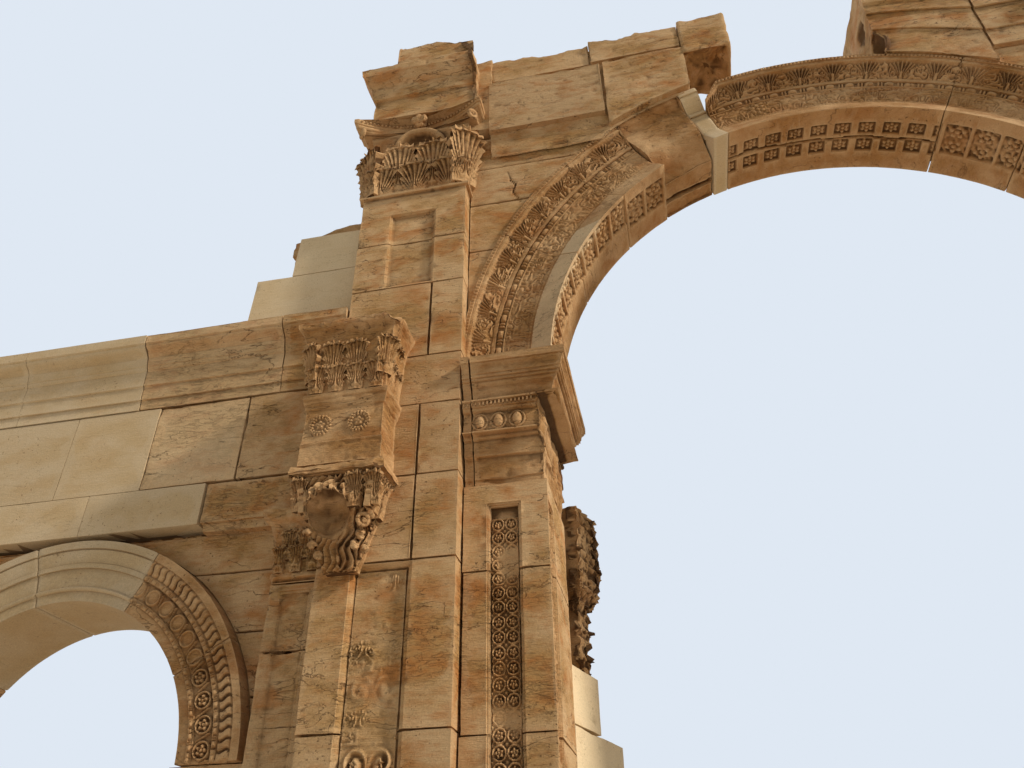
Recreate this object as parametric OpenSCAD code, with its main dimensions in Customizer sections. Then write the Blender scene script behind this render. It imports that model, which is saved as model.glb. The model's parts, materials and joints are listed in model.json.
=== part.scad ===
// Ruined triumphal arch of carved limestone, with a tall middle archway and a lower arch on each side.
// X runs along the front, Y into the depth, Z up. The origin is on the ground, at the middle of the plan.
// Each side is drawn at positive X, by its distance from the middle of the passage. The left one is mirrored.

/* [Main archway] */
// Clear width between the two soffits of the main arch
passage_w = 7000; // [6000:50:8000]
// Height of the springing of the main arch
spring_z = 6970; // [6500:10:7500]
// Width of the main arch ring, from the soffit to its outer edge
ring_w = 1080; // [1000:10:1150]
// Depth of the main arch ring through the wall
ring_d = 1070; // [950:10:1150]
// How far each inner band of a ring is set back from the one outside it
ring_step = 30; // [15:1:40]
// How far the bead moulding of the main ring lies back from its outer edge
ring_dip = 180; // [100:5:200]
// How far the inner edge of the main ring lies back
ring_lip = 20; // [10:1:40]
// Angle of the joint at which the right shoulder of the ring starts
right_haunch_a = 46; // [35:1:55]
// Angle of the joint at the right of the long crown block
right_joint_a = 62; // [58:1:70]
// Angle of the joint at the right of the thin new voussoir
new_right_a = 106; // [100:0.5:107]
// Angle of the joint at the left of the thin new voussoir
new_left_a = 109.5; // [108:0.5:114]
// Angle of the joint at which the carving of the left side ends
left_joint_a = 122; // [116:1:128]
// Angle of the joint between the two carved left blocks
left_haunch_a = 134; // [130:1:150]
// How far the broken voussoir is worn back from the front
worn_back = 60; // [20:5:90]

/* [Arch piers] */
// How far the ring overhangs the pier in the passage
ring_overhang = 100; // [60:5:140]
// Depth of the piers, from the front plane to the rear plane
pier_d = 1250; // [1180:10:1500]
// Height of the impost, below the springing
impost_h = 1470; // [1300:10:1600]
// Reach of the impost cornice beyond the pier
impost_reach = 300; // [220:5:340]
// Width of the carved sunken panel on the pier
vine_w = 350; // [200:10:400]
// Plain stone between the passage and that panel
vine_off = 285; // [230:5:320]
// Width of the carved sunken panel in the reveal
reveal_w = 320; // [200:10:400]
// Plain stone between the front plane and that panel
reveal_off = 40; // [30:5:120]
// Depth of the sunken panels
panel_t = 50; // [30:5:80]
// Plain stone left above and below a sunken panel
panel_end = 230; // [150:10:300]

/* [Giant pilasters] */
// How far a giant pilaster laps over the outer edge of the main ring
giant_lap = 85; // [60:5:110]
// Width of a giant pilaster
giant_w = 1455; // [1350:5:1600]
// Reach of a giant pilaster in front of the wall
giant_t = 200; // [150:5:250]
// Height of a giant pilaster up to its capital
giant_z = 9980; // [9800:10:10300]
// Width of the sunken panels of a giant pilaster
giant_panel_w = 580; // [450:10:640]
// Plain stone between the inner edge of the pilaster and its panels
giant_panel_off = 465; // [400:5:550]
// Height of the upper sunken panel
upper_panel_h = 1490; // [1000:10:1600]
// Height of the moulding rings at the head of a giant pilaster
astragal_h = 110; // [80:5:150]
// Height of the capital of a giant pilaster
capital_h = 1600; // [1400:10:1750]
// Height of the abacus of a giant capital
abacus_h = 250; // [180:10:300]
// Reach of the abacus beyond the pilaster
abacus_reach = 230; // [180:5:260]
// How far the middle of the abacus is hollowed back from its tips
abacus_sag = 290; // [150:10:320]
// Leaves across the front of a giant capital
leaf_n = 4; // [3:1:5]

/* [Plinths and bases] */
// Height of the plinth course
plinth_h = 450; // [300:10:600]
// Reach of the plinth beyond the piers
plinth_reach = 120; // [110:5:200]
// Height of the pilaster bases
base_h = 400; // [300:10:500]
// Reach of the pilaster bases
base_reach = 100; // [60:5:105]

/* [Consoles] */
// Width of the console blocks on a giant pilaster
console_w = 900; // [700:10:1000]
// Distance of a console from the inner edge of its pilaster
console_off = 705; // [650:5:740]
// Reach of the console blocks in front of the pilaster
console_t = 450; // [350:10:550]
// Height of the underside of the console capital
console_z = 4550; // [4300:10:4700]
// Height of the console capital
console_cap_h = 1050; // [900:10:1150]
// Height of the console architrave and frieze
console_frieze_h = 850; // [700:10:950]
// Height of the leaf cornice of the console
console_cornice_h = 1000; // [900:10:1200]
// Reach of the console cornice beyond its blocks
console_flare = 170; // [120:5:240]

/* [High entablature] */
// Drop from the top of the giant capitals to the underside of the high architrave
high_drop = 480; // [400:10:600]
// Height of the blocks of the high architrave
high_h = 1850; // [1500:10:2000]
// Reach of the high architrave in front of the ring
high_reach = 120; // [80:5:160]
// Height of the cornice block over a giant capital
corner_h = 1720; // [1400:10:1900]
// Width broken off the upper outer end of that block, from the outer face of the pilaster
corner_lost_w = 350; // [250:10:500]
// Height of the part that is broken off
corner_lost_h = 600; // [450:10:650]
// Distance from the middle at which the left architrave is broken off
left_break = 1300; // [1200:10:1600]
// Length of the upper part that overhangs the left break
overhang_w = 700; // [400:10:800]
// Height of the overhanging part
overhang_h = 900; // [700:10:1000]
// Distance from the middle at which the right architrave is broken off
right_break = 1200; // [1000:10:1600]
// Length of one block of the high architrave
high_block_w = 1680; // [1450:10:1750]
// Open joint between the blocks of the high entablature
open_joint = 40; // [20:5:60]
// Height above the springing at which the wall beside the main ring starts
spandrel_foot = 1000; // [950:10:1200]

/* [Side bays] */
// Clear width of a side arch
side_w = 3420; // [3000:20:3600]
// Height of the springing of a side arch
side_spring_z = 2950; // [2600:10:3200]
// Width of the side arch ring
side_ring_w = 670; // [500:10:750]
// Width of the wall from a giant pilaster to a side arch
side_jamb_w = 1290; // [1150:10:1400]
// Width of the wall beyond a side arch
outer_jamb_w = 1540; // [1300:10:1700]
// Depth of the side wall
side_d = 1100; // [950:10:1150]
// Setback of the wall beside a side arch
spandrel_back = 170; // [120:5:220]
// Height of the impost slab of a side arch
side_impost_h = 200; // [150:10:250]
// Reach of the impost slab
side_impost_reach = 70; // [40:5:90]
// Strip of wall left over the crown of a side ring
crown_strip = 60; // [40:5:100]
// Height of the upper wall, up to the architrave
upper_wall_h = 1650; // [1500:10:1900]
// Height of the side architrave
architrave_h = 1000; // [850:10:1250]
// Reach of the crown of the side architrave
crown_reach = 250; // [200:5:320]
// Angle of the joint between the old and the new voussoirs of a side arch
side_joint_a = 64; // [60:1:80]
// Angle at which the new voussoirs of a side arch end
side_outer_a = 140; // [130:1:150]
// Width of a small pilaster
small_w = 550; // [400:10:600]
// Reach of a small pilaster in front of the wall beside the arch
small_t = 220; // [180:5:250]
// Height of the capital of a small pilaster
small_cap_h = 800; // [600:10:900]
// Reach of the capital of a small pilaster
small_cap_reach = 230; // [150:5:250]

/* [Restored ashlar and rear masonry] */
// Width of the lower restored course on the side architrave
stub_low_w = 1530; // [1200:10:1700]
// Width of the upper restored course
stub_high_w = 1000; // [700:10:1100]
// Height of the lower restored course
stub_low_h = 920; // [700:10:1000]
// Height of the upper restored course
stub_high_h = 690; // [600:10:800]
// Depth of the restored courses
stub_d = 350; // [250:10:450]
// Width of the rough masonry behind them
rough_w = 1350; // [1000:10:1500]
// Height of the rough masonry
rough_h = 2360; // [1800:10:2500]
// Turn of the rear pier from the front, as the streets meet at an angle
rear_turn = 15; // [10:1:18]
// Length of the lower part of the rear pier along the passage
rear_len = 1400; // [1200:10:1800]
// Length of its upper course
rear_high_len = 750; // [650:10:1000]
// Width of the rear pier
rear_w = 2200; // [1900:10:2300]
// Height of the lower part of the rear pier
rear_low_z = 3350; // [3000:10:3700]
// Height of the rear pier up to its capital
rear_z = 3950; // [3800:10:4300]
// Height of the lower, narrow part of the broken rear capital
rear_cap_low_h = 800; // [600:10:900]
// Height of the upper part of the broken rear capital
rear_cap_high_h = 1150; // [900:10:1300]
// Length of the upper part of the broken rear capital, without its reach
rear_cap_len = 850; // [800:10:1000]
// Reach of the broken rear capital
rear_cap_reach = 150; // [100:5:200]

/* [Hidden] */
$fn = 360;

// how far joined boxes run into each other, and cuts run past a face
seam = 1;

// colours of the stones
old_stone = [0.72, 0.53, 0.34];
dark_stone = [0.60, 0.42, 0.27];
new_stone = [0.86, 0.76, 0.58];

// the angle of the left springing of an arch, where the right one is at zero
half_turn = 180;

// main arch
ring_r = passage_w / 2;
ring_out = ring_r + ring_w;

// places along the front, as distances from the middle of the passage
pier_in = ring_r + ring_overhang;
giant_in = ring_out - giant_lap;
giant_out = giant_in + giant_w;
console_in = giant_in + console_off;
console_out = console_in + console_w;
side_in = giant_out + side_jamb_w;
side_mid = side_in + side_w / 2;
side_out = side_in + side_w;
wall_end = side_out + outer_jamb_w;

// heights
impost_z = spring_z - impost_h;
capital_z = giant_z;
capital_top = capital_z + capital_h;
high_z = capital_top - high_drop;
base_top = plinth_h + base_h;
console_frieze_z = console_z + console_cap_h;
console_cornice_z = console_frieze_z + console_frieze_h;
console_top = console_cornice_z + console_cornice_h;
side_r = side_w / 2;
side_ring_out = side_r + side_ring_w;
upper_wall_z = side_spring_z + side_ring_out + crown_strip;
architrave_z = upper_wall_z + upper_wall_h;
architrave_top = architrave_z + architrave_h;
side_impost_z = side_spring_z - side_impost_h;
small_top = upper_wall_z;

// the front reaches furthest at the console cornice, the rear at the outer corner of the rear plinth
front_y = -giant_t - console_t - console_flare;
rear_y = pier_d + (rear_len + plinth_reach) * cos(rear_turn) + (rear_w + plinth_reach) * sin(rear_turn);
mid_y = (front_y + rear_y) / 2;

// a box by its limits
module block(x0, x1, y0, y1, z0, z1) {
    translate([x0, y0, z0]) cube([x1 - x0, y1 - y0, z1 - z0]);
}

// an outline of [x, z] carried from y0 to y1
module along_y(outline, y0, y1) {
    translate([0, y1, 0]) rotate([90, 0, 0]) linear_extrude(y1 - y0) polygon(outline);
}

// an outline of [y, z] carried from x0 to x1
module along_x(outline, x0, x1) {
    translate([x0, 0, 0]) rotate([90, 0, 90]) linear_extrude(x1 - x0) polygon(outline);
}

// A course of mouldings around a block: rises is a list of [reach, height], from the bottom up.
// The reach is added at the front and the back, and at the ends that are wrapped.
module moulded(x0, x1, y0, y1, rises, wrap_in = true, wrap_out = true) {
    n = len(rises) - 1;
    most = max([for (p = rises) p[0]]);
    front = [for (p = rises) [y0 - p[0], p[1]]];
    intersection() {
        along_x(concat(front, [for (i = [n:-1:0]) [y1 + rises[i][0], rises[i][1]]]),
            wrap_in ? x0 - most : x0, wrap_out ? x1 + most : x1);
        along_y(concat([for (p = rises) [wrap_in ? x0 - p[0] : x0, p[1]]],
            [for (i = [n:-1:0]) [wrap_out ? x1 + rises[i][0] : x1, rises[i][1]]]), y0 - most, y1 + most);
    }
}

// mouldings from z0 to z1: shape is a list of [share of the reach, share of the height]
function rise(z0, z1, reach, shape) = [for (p = shape) [reach * p[0], z0 + (z1 - z0) * p[1]]];

// shares of the reach and height of each kind of moulding, from the bottom up
base_shape = [[1, 0], [1, 0.42], [0.72, 0.45], [0.5, 0.56], [0.6, 0.66], [0.7, 0.72], [0.6, 0.86], [0, 0.92],
    [0, 1]];
astragal_shape = [[0, 0], [0, 0.3], [0.9, 0.45], [1, 0.7], [0.6, 1]];
impost_shape = [[0, 0], [0.02, 0.22], [0.24, 0.24], [0.24, 0.37], [0.5, 0.39], [0.56, 0.58], [0.4, 0.6],
    [0.42, 0.66], [0.6, 0.74], [0.86, 0.79], [0.9, 0.87], [1, 0.9], [1, 1]];
architrave_shape = [[0.04, 0], [0.04, 0.14], [0.13, 0.14], [0.13, 0.34], [0.22, 0.34], [0.22, 0.58],
    [0.34, 0.6], [0.42, 0.68], [0.62, 0.78], [0.94, 0.86], [1, 0.88], [1, 1]];
cavetto_shape = [[0, 0], [0.1, 0.1], [0.14, 0.35], [0.3, 0.62], [0.62, 0.82], [0.94, 0.88], [1, 1]];
bell_shape = [[0, 0], [0.06, 0.3], [0.22, 0.6], [0.5, 0.85], [0.6, 1]];
corner_shape = [[0, 0], [0, 0.25], [0.15, 0.27], [0.3, 0.4], [0.8, 0.5], [0.9, 0.62], [0.7, 0.7], [0.6, 1]];
leaf_shape = [[-0.05, 0], [0.3, 0], [0.4, 0.6], [0.8, 0.85], [1, 0.8], [1, 0.95], [0.7, 1], [-0.05, 1]];
worn_shape = [[1, 0], [1, 0.88], [0.7, 1]];
fascia_shape = [[0.3, 0], [0.3, 0.36], [0.5, 0.36], [0.5, 0.52], [0.75, 0.52], [0.75, 0.68], [1, 0.7],
    [1, 1]];

module on_left() {
    mirror([1, 0, 0]) children();
}

// everything is drawn with the front plane of the ring at y = 0 and then set around the middle of the plan
module placed(paint) {
    color(paint) translate([0, -mid_y, 0]) children();
}

// the section of an arch ring as [radius, -y]: bands stepped back towards the soffit, at front and rear
function ring_section(r0, r1, depth, step, back = 0) = let (w = r1 - r0) [
    [r0, -3 * step - back], [r0 + 0.25 * w, -3 * step - back], [r0 + 0.27 * w, -2 * step - back],
    [r0 + 0.51 * w, -2 * step - back], [r0 + 0.54 * w, -step - back], [r0 + 0.82 * w, -step - back],
    [r0 + 0.86 * w, -back], [r1, -back], [r1, -depth], [r0 + 0.86 * w, -depth],
    [r0 + 0.82 * w, step - depth], [r0, step - depth]
];

// part of a ring between two angles, which are measured from +X around the middle of the arch
module ring_part(section, a0, a1, x, z) {
    translate([x, 0, z]) rotate([90, 0, 0]) rotate([0, 0, a0])
        rotate_extrude(angle = a1 - a0) polygon(section);
}

// The front of the main ring falls back from a lip at the opening to its leaf band and bead moulding,
// and the palmette frieze leads out again to the outer edge.
function main_section(lost) = [
    [ring_r, -ring_lip - lost], [ring_r + 0.24 * ring_w, -0.93 * ring_dip - lost],
    [ring_r + 0.57 * ring_w, -ring_dip - lost], [ring_r + 0.7 * ring_w, -ring_dip - lost],
    [ring_r + 0.91 * ring_w, -ring_lip - lost], [ring_r + 0.95 * ring_w, -lost], [ring_out, -lost],
    [ring_out, -ring_d], [ring_r + 0.86 * ring_w, -ring_d], [ring_r + 0.82 * ring_w, ring_step - ring_d],
    [ring_r, ring_step - ring_d]
];

module main_ring(a0, a1, lost = 0) {
    ring_part(main_section(lost), a0, a1, 0, spring_z);
}

module side_ring(a0, a1) {
    ring_part(ring_section(side_r, side_ring_out, side_d, ring_step), a0, a1, side_mid, side_spring_z);
}

// a round of the given radius through the whole depth of the wall, to cut what lies against an arch
module arch_round(r, x, z) {
    translate([x, 2 * pier_d, z]) rotate([90, 0, 0]) cylinder(h = 4 * pier_d, r = r);
}

// the giant pilaster runs up the front and, above the rear pier, up the back
rear_strip_z = rear_z + rear_cap_low_h + rear_cap_high_h;
// the first block of the high architrave ends beside the abacus, and the spandrel carries it
high_out = giant_in - abacus_reach - open_joint;
spandrel_in = high_out - high_block_w;
small_in = giant_out;
small_far = 2 * side_mid - giant_out;

// plinth under the piers beside the main archway, and under the outer pier of the side arch
module plinth() {
    side_front = spandrel_back - small_t - plinth_reach;
    side_rear = side_d + plinth_reach;
    block(pier_in - plinth_reach, giant_out, -giant_t - plinth_reach, pier_d, 0, plinth_h);
    block(giant_out - seam, side_in + plinth_reach, side_front, side_rear, 0, plinth_h);
    block(side_out - plinth_reach, wall_end + plinth_reach, side_front, side_rear, 0, plinth_h);
}

module arch_pier() {
    vine_in = pier_in + vine_off;
    panel_z = base_top + panel_end;
    panel_top = impost_z - panel_end;
    difference() {
        block(pier_in, giant_in, 0, pier_d, plinth_h, impost_z);
        block(vine_in, vine_in + vine_w, -seam, panel_t, panel_z, panel_top);
        block(pier_in - seam, pier_in + panel_t, reveal_off, reveal_off + reveal_w, panel_z, panel_top);
    }
}

module impost() {
    moulded(pier_in, giant_in, 0, pier_d, rise(impost_z, spring_z, impost_reach, impost_shape), true, false);
}

module giant_pilaster() {
    panel_in = giant_in + giant_panel_off;
    panel_out = panel_in + giant_panel_w;
    upper_top = giant_z - astragal_h - panel_end;
    difference() {
        union() {
            block(giant_in, giant_out, -giant_t, pier_d, plinth_h, giant_z);
            block(giant_in, giant_out, pier_d - seam, pier_d + giant_t, rear_strip_z, giant_z);
            along_x([for (p = concat([[-1, 0]], base_shape, [[-1, 1]]))
                [-giant_t - base_reach * p[0], plinth_h + base_h * p[1]]], giant_in, giant_out);
            along_x([for (p = concat([[-1, 0]], astragal_shape, [[-1, 1]]))
                [-giant_t - 0.5 * base_reach * p[0], giant_z - astragal_h * (1 - p[1])]],
                giant_in, giant_out);
        }
        block(panel_in, panel_out, -giant_t - seam, panel_t - giant_t, upper_top - upper_panel_h, upper_top);
        block(panel_in, panel_out, -giant_t - seam, panel_t - giant_t, base_top + panel_end,
            console_z - panel_end / 4);
        intersection() {
            arch_round(ring_out, 0, spring_z);
            block(giant_in - seam, ring_out, 0, pier_d + giant_t + seam, spring_z, giant_z);
        }
    }
}

// one row of leaves that bend outwards, between x0 and x1, standing on the face at y
module leaf_row(n, x0, x1, y, z, h, reach) {
    pitch = (x1 - x0) / n;
    for (i = [0:n - 1])
        along_x([for (p = leaf_shape) [y - reach * p[0], z + h * p[1]]],
            x0 + (i + 0.08) * pitch, x0 + (i + 0.92) * pitch);
}

module giant_capital() {
    abacus_z = capital_top - abacus_h;
    bell_h = abacus_z - capital_z;
    pitch = giant_w / leaf_n;
    chord = giant_w / 2 + abacus_reach - abacus_h / 4;
    sag_r = (chord * chord + abacus_sag * abacus_sag) / (2 * abacus_sag);
    front = -giant_t - abacus_reach;
    rear = pier_d + giant_t + abacus_reach;
    block(giant_in, giant_out, -giant_t, pier_d + giant_t, capital_z, abacus_z);
    for (y = [[front, 0], [pier_d, rear]])
        intersection() {
            moulded(giant_in, giant_out, -giant_t, pier_d + giant_t,
                rise(capital_z, abacus_z, abacus_reach, bell_shape));
            block(giant_in - abacus_reach, giant_out + abacus_reach, y[0], y[1], capital_z, abacus_z);
        }
    low_h = 0.45 * bell_h;
    leaf_row(leaf_n, giant_in, giant_out, -giant_t, capital_z, low_h, 0.7 * abacus_reach);
    leaf_row(leaf_n - 1, giant_in + pitch / 2, giant_out - pitch / 2, -giant_t, capital_z + low_h, 0.35 * bell_h,
        abacus_reach);
    difference() {
        block(giant_in - abacus_reach, giant_out + abacus_reach, front, rear, abacus_z, capital_top);
        translate([(giant_in + giant_out) / 2, front + abacus_sag - sag_r, abacus_z - seam])
            cylinder(h = abacus_h + 2 * seam, r = sag_r);
    }
}

// capital that carries the console, narrow below and wide at the abacus
module console_capital() {
    foot = 0.3 * console_w;
    bell_z = console_frieze_z - 0.16 * console_cap_h;
    knee_z = console_z + 0.3 * console_cap_h;
    lip = 0.4 * console_flare;
    front = -giant_t - console_t;
    intersection() {
        along_x([[-giant_t, console_z], [-giant_t - 0.35 * console_t, console_z],
            [-giant_t - 0.5 * console_t, knee_z], [front, bell_z], [-giant_t, bell_z]], console_in, console_out);
        along_y([[console_in + foot, console_z], [console_out - foot, console_z],
            [console_out - 0.75 * foot, knee_z], [console_out, bell_z], [console_in, bell_z],
            [console_in + 0.75 * foot, knee_z]], front, -giant_t);
    }
    block(console_in - lip, console_out + lip, front - lip, -giant_t, bell_z, console_frieze_z);
}

module console_entablature() {
    fillet_h = 0.08 * console_frieze_h;
    fillet_z = console_cornice_z - fillet_h;
    front = -giant_t - console_t;
    block(console_in, console_out, front, -giant_t, console_frieze_z, fillet_z);
    block(console_in - fillet_h / 2, console_out + fillet_h / 2, front - fillet_h / 2, -giant_t, fillet_z,
        console_cornice_z);
    intersection() {
        moulded(console_in, console_out, front, 0,
            rise(console_cornice_z, console_top, console_flare, cavetto_shape));
        block(console_in - console_flare, console_out + console_flare, front_y, -giant_t, console_cornice_z,
            console_top);
    }
}

// wall between the main ring and the giant pilaster
module spandrel() {
    difference() {
        block(spandrel_in, giant_in, ring_step, ring_d, spring_z + spandrel_foot, high_z);
        arch_round(ring_out, 0, spring_z);
    }
}

// cornice block that stands out over the giant capital
module corner_block() {
    front = -giant_t - high_reach / 2;
    rear = pier_d + giant_t + high_reach / 2;
    top = capital_top + corner_h;
    difference() {
        moulded(giant_in - abacus_reach, giant_out, front, rear,
            rise(capital_top, top, abacus_reach, corner_shape), false, true);
        block(giant_out - corner_lost_w, giant_out + abacus_reach + seam, front - abacus_reach - seam,
            rear + abacus_reach + seam, top - corner_lost_h, top + seam);
    }
}

// Two blocks of the high architrave: one on the spandrel, one on the ring up to the break.
module high_architrave(shape, break_x) {
    rises = rise(high_z - 0.25 * high_h, high_z + high_h, high_reach, shape);
    front = -high_reach - seam;
    rear = ring_d + high_reach + seam;
    difference() {
        moulded(break_x, high_out, 0, ring_d, rises, false, false);
        arch_round(ring_out, 0, spring_z);
        block(spandrel_in - open_joint, high_out + seam, front, rear, high_z - 0.25 * high_h - seam, high_z);
        block(spandrel_in - open_joint, spandrel_in, front, rear, high_z - seam, high_z + high_h + seam);
    }
}

// upper part of the last left block, which hangs out over the crown of the ring
module overhang() {
    block(left_break - overhang_w, left_break + seam, -high_reach, 0.7 * ring_d, high_z + high_h - overhang_h,
        high_z + high_h);
}

// walls on both sides of the side arch, up to its imposts
module jamb_walls() {
    block(giant_out, side_in, spandrel_back, side_d, plinth_h, side_impost_z);
    block(side_out, wall_end, spandrel_back, side_d, plinth_h, side_impost_z);
}

module impost_slabs() {
    front = spandrel_back - side_impost_reach;
    rear = side_d + side_impost_reach;
    block(small_in, side_in, spandrel_back, side_d, side_impost_z, side_spring_z);
    block(small_in + small_w, side_in + side_impost_reach, front, rear, side_impost_z, side_spring_z);
    block(side_out, wall_end, spandrel_back, side_d, side_impost_z, side_spring_z);
    block(side_out - side_impost_reach, small_far - small_w, front, rear, side_impost_z, side_spring_z);
}

// pilaster with a sunken panel, a base and a flared capital, which stops at the face of the giant pilaster
module small_pilaster(x, wrap_in) {
    front = spandrel_back - small_t;
    cap_z = small_top - small_cap_h;
    margin = small_w / 5;
    difference() {
        block(x, x + small_w, front, spandrel_back, plinth_h, cap_z);
        block(x + margin, x + small_w - margin, front - seam, front + panel_t / 2, base_top + panel_end / 2,
            cap_z - panel_end / 3);
    }
    along_x([for (p = concat([[-1, 0]], base_shape, [[-1, 1]]))
        [front - 0.6 * base_reach * p[0], plinth_h + base_h * p[1]]], x, x + small_w);
    intersection() {
        moulded(x, x + small_w, front, spandrel_back,
            rise(cap_z, small_top, small_cap_reach, cavetto_shape), wrap_in);
        block(x - small_cap_reach, x + small_w + small_cap_reach, -giant_t, spandrel_back, cap_z, small_top);
    }
}

module pilaster_pair() {
    small_pilaster(small_in, false);
    small_pilaster(small_far - small_w, true);
}

module ring_surround() {
    difference() {
        block(giant_out, wall_end, spandrel_back, side_d, side_spring_z, upper_wall_z);
        arch_round(side_ring_out, side_mid, side_spring_z);
    }
}

module side_arch_old() {
    side_ring(half_turn - side_joint_a, half_turn);
    side_ring(0, half_turn - side_outer_a);
}

module side_arch_new() {
    side_ring(half_turn - side_outer_a, half_turn - side_joint_a);
}

module upper_wall() {
    block(giant_out, wall_end, 0, side_d, upper_wall_z, architrave_z);
}

module side_architrave() {
    moulded(giant_out, wall_end, 0, side_d,
        rise(architrave_z, architrave_top, crown_reach, architrave_shape), false, true);
}

// two courses of new ashlar against the giant pilaster, with a raking end
module restored_ashlar() {
    joint_z = architrave_top + stub_low_h;
    top = joint_z + stub_high_h;
    along_y([[giant_out, architrave_top], [giant_out + stub_low_w, architrave_top],
        [giant_out + stub_low_w - stub_low_h / 20, joint_z], [giant_out + stub_high_w, joint_z],
        [giant_out + stub_high_w - stub_high_h / 20, top], [giant_out, top]], ring_step, ring_step + stub_d);
}

module rough_masonry() {
    block(giant_out, giant_out + rough_w, ring_step + stub_d, side_d, architrave_top,
        architrave_top + rough_h);
}

// the rear pier is turned around the rear inner corner of the arch pier
module turned() {
    translate([pier_in, pier_d, 0]) rotate([0, 0, rear_turn]) children();
}

// outline of the rear pier from above, grown by a reach; its front edge lies on the back of the front piers
module rear_plan(length, reach) {
    intersection() {
        turned() translate([-reach, -rear_w, 0]) square([rear_w + 2 * reach, rear_w + length + reach]);
        translate([0, pier_d]) square([giant_out, rear_y]);
    }
}

module turned_pier() {
    linear_extrude(plinth_h) rear_plan(rear_len, plinth_reach);
    linear_extrude(rear_low_z) rear_plan(rear_len, 0);
    linear_extrude(rear_z) rear_plan(rear_high_len, 0);
}

// broken capital of the rear pier: a narrow lump below and a wide one above
module turned_capital() {
    inset = rear_cap_reach + 2 * plinth_reach;
    width = 0.7 * rear_w;
    lip = rear_cap_reach / 3;
    mid_z = rear_z + rear_cap_low_h;
    top = mid_z + rear_cap_high_h;
    turned() {
        moulded(0, width, inset, rear_high_len - 2 * lip, rise(rear_z, mid_z, lip, bell_shape));
        moulded(0, width, inset, rear_cap_len, rise(mid_z, top, rear_cap_reach, worn_shape));
    }
}

// the nodes of the main arch
module main_arch_left_haunch() {
    placed(old_stone) main_ring(left_haunch_a, half_turn);
}
module main_arch_left_shoulder() {
    placed(old_stone) main_ring(left_joint_a, left_haunch_a);
}
module main_arch_broken_voussoir() {
    placed(old_stone) main_ring(new_left_a, left_joint_a, worn_back);
}
module main_arch_new_voussoir() {
    placed(new_stone) main_ring(new_right_a, new_left_a);
}
module main_arch_crown() {
    placed(old_stone) main_ring(right_joint_a, new_right_a);
}
module main_arch_right_shoulder() {
    placed(old_stone) main_ring(right_haunch_a, right_joint_a);
}
module main_arch_right_haunch() {
    placed(old_stone) main_ring(0, right_haunch_a);
}

// the nodes of the left side
module left_plinth() {
    placed(old_stone) on_left() plinth();
}
module left_arch_pier() {
    placed(old_stone) on_left() arch_pier();
}
module left_impost() {
    placed(old_stone) on_left() impost();
}
module left_giant_pilaster() {
    placed(old_stone) on_left() giant_pilaster();
}
module left_giant_capital() {
    placed(old_stone) on_left() giant_capital();
}
module left_console_capital() {
    placed(dark_stone) on_left() console_capital();
}
module left_console_entablature() {
    placed(old_stone) on_left() console_entablature();
}
module left_spandrel() {
    placed(old_stone) on_left() spandrel();
}
module left_corner_block() {
    placed(dark_stone) on_left() corner_block();
}
module left_high_architrave() {
    placed(old_stone) on_left() { high_architrave(worn_shape, left_break); overhang(); }
}
module left_side_arch_old() {
    placed(dark_stone) on_left() side_arch_old();
}
module left_side_arch_new() {
    placed(new_stone) on_left() side_arch_new();
}
module left_upper_wall() {
    placed(old_stone) on_left() upper_wall();
}
module left_side_architrave() {
    placed(new_stone) on_left() side_architrave();
}
module left_restored_ashlar() {
    placed(new_stone) on_left() restored_ashlar();
}
module left_rough_masonry() {
    placed(dark_stone) on_left() rough_masonry();
}

// the nodes of the right side
module right_plinth() {
    placed(old_stone) plinth();
}
module right_arch_pier() {
    placed(old_stone) arch_pier();
}
module right_impost() {
    placed(old_stone) impost();
}
module right_giant_pilaster() {
    placed(old_stone) giant_pilaster();
}
module right_giant_capital() {
    placed(old_stone) giant_capital();
}
module right_console_capital() {
    placed(dark_stone) console_capital();
}
module right_console_entablature() {
    placed(old_stone) console_entablature();
}
module right_spandrel() {
    placed(old_stone) spandrel();
}
module right_corner_block() {
    placed(dark_stone) corner_block();
}
module right_high_architrave() {
    placed(old_stone) high_architrave(fascia_shape, right_break);
}
module right_side_arch_old() {
    placed(dark_stone) side_arch_old();
}
module right_side_arch_new() {
    placed(new_stone) side_arch_new();
}
module right_upper_wall() {
    placed(old_stone) upper_wall();
}
module right_side_architrave() {
    placed(new_stone) side_architrave();
}
module right_restored_ashlar() {
    placed(new_stone) restored_ashlar();
}
module right_rough_masonry() {
    placed(dark_stone) rough_masonry();
}

// like pieces of both sides share a node
module both_sides() {
    children();
    on_left() children();
}
module side_jambs() {
    placed(old_stone) both_sides() jamb_walls();
}
module side_imposts() {
    placed(new_stone) both_sides() impost_slabs();
}
module small_pilasters() {
    placed(old_stone) both_sides() pilaster_pair();
}
module side_spandrels() {
    placed(old_stone) both_sides() ring_surround();
}
module rear_piers() {
    placed(new_stone) both_sides() turned_pier();
}
module rear_capitals() {
    placed(dark_stone) both_sides() turned_capital();
}

main_arch_left_haunch();
main_arch_left_shoulder();
main_arch_broken_voussoir();
main_arch_new_voussoir();
main_arch_crown();
main_arch_right_shoulder();
main_arch_right_haunch();
left_plinth();
left_arch_pier();
left_impost();
left_giant_pilaster();
left_giant_capital();
left_console_capital();
left_console_entablature();
left_spandrel();
left_corner_block();
left_high_architrave();
left_side_arch_old();
left_side_arch_new();
left_upper_wall();
left_side_architrave();
left_restored_ashlar();
left_rough_masonry();
right_plinth();
right_arch_pier();
right_impost();
right_giant_pilaster();
right_giant_capital();
right_console_capital();
right_console_entablature();
right_spandrel();
right_corner_block();
right_high_architrave();
right_side_arch_old();
right_side_arch_new();
right_upper_wall();
right_side_architrave();
right_restored_ashlar();
right_rough_masonry();
side_jambs();
side_imposts();
small_pilasters();
side_spandrels();
rear_piers();
rear_capitals();
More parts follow.
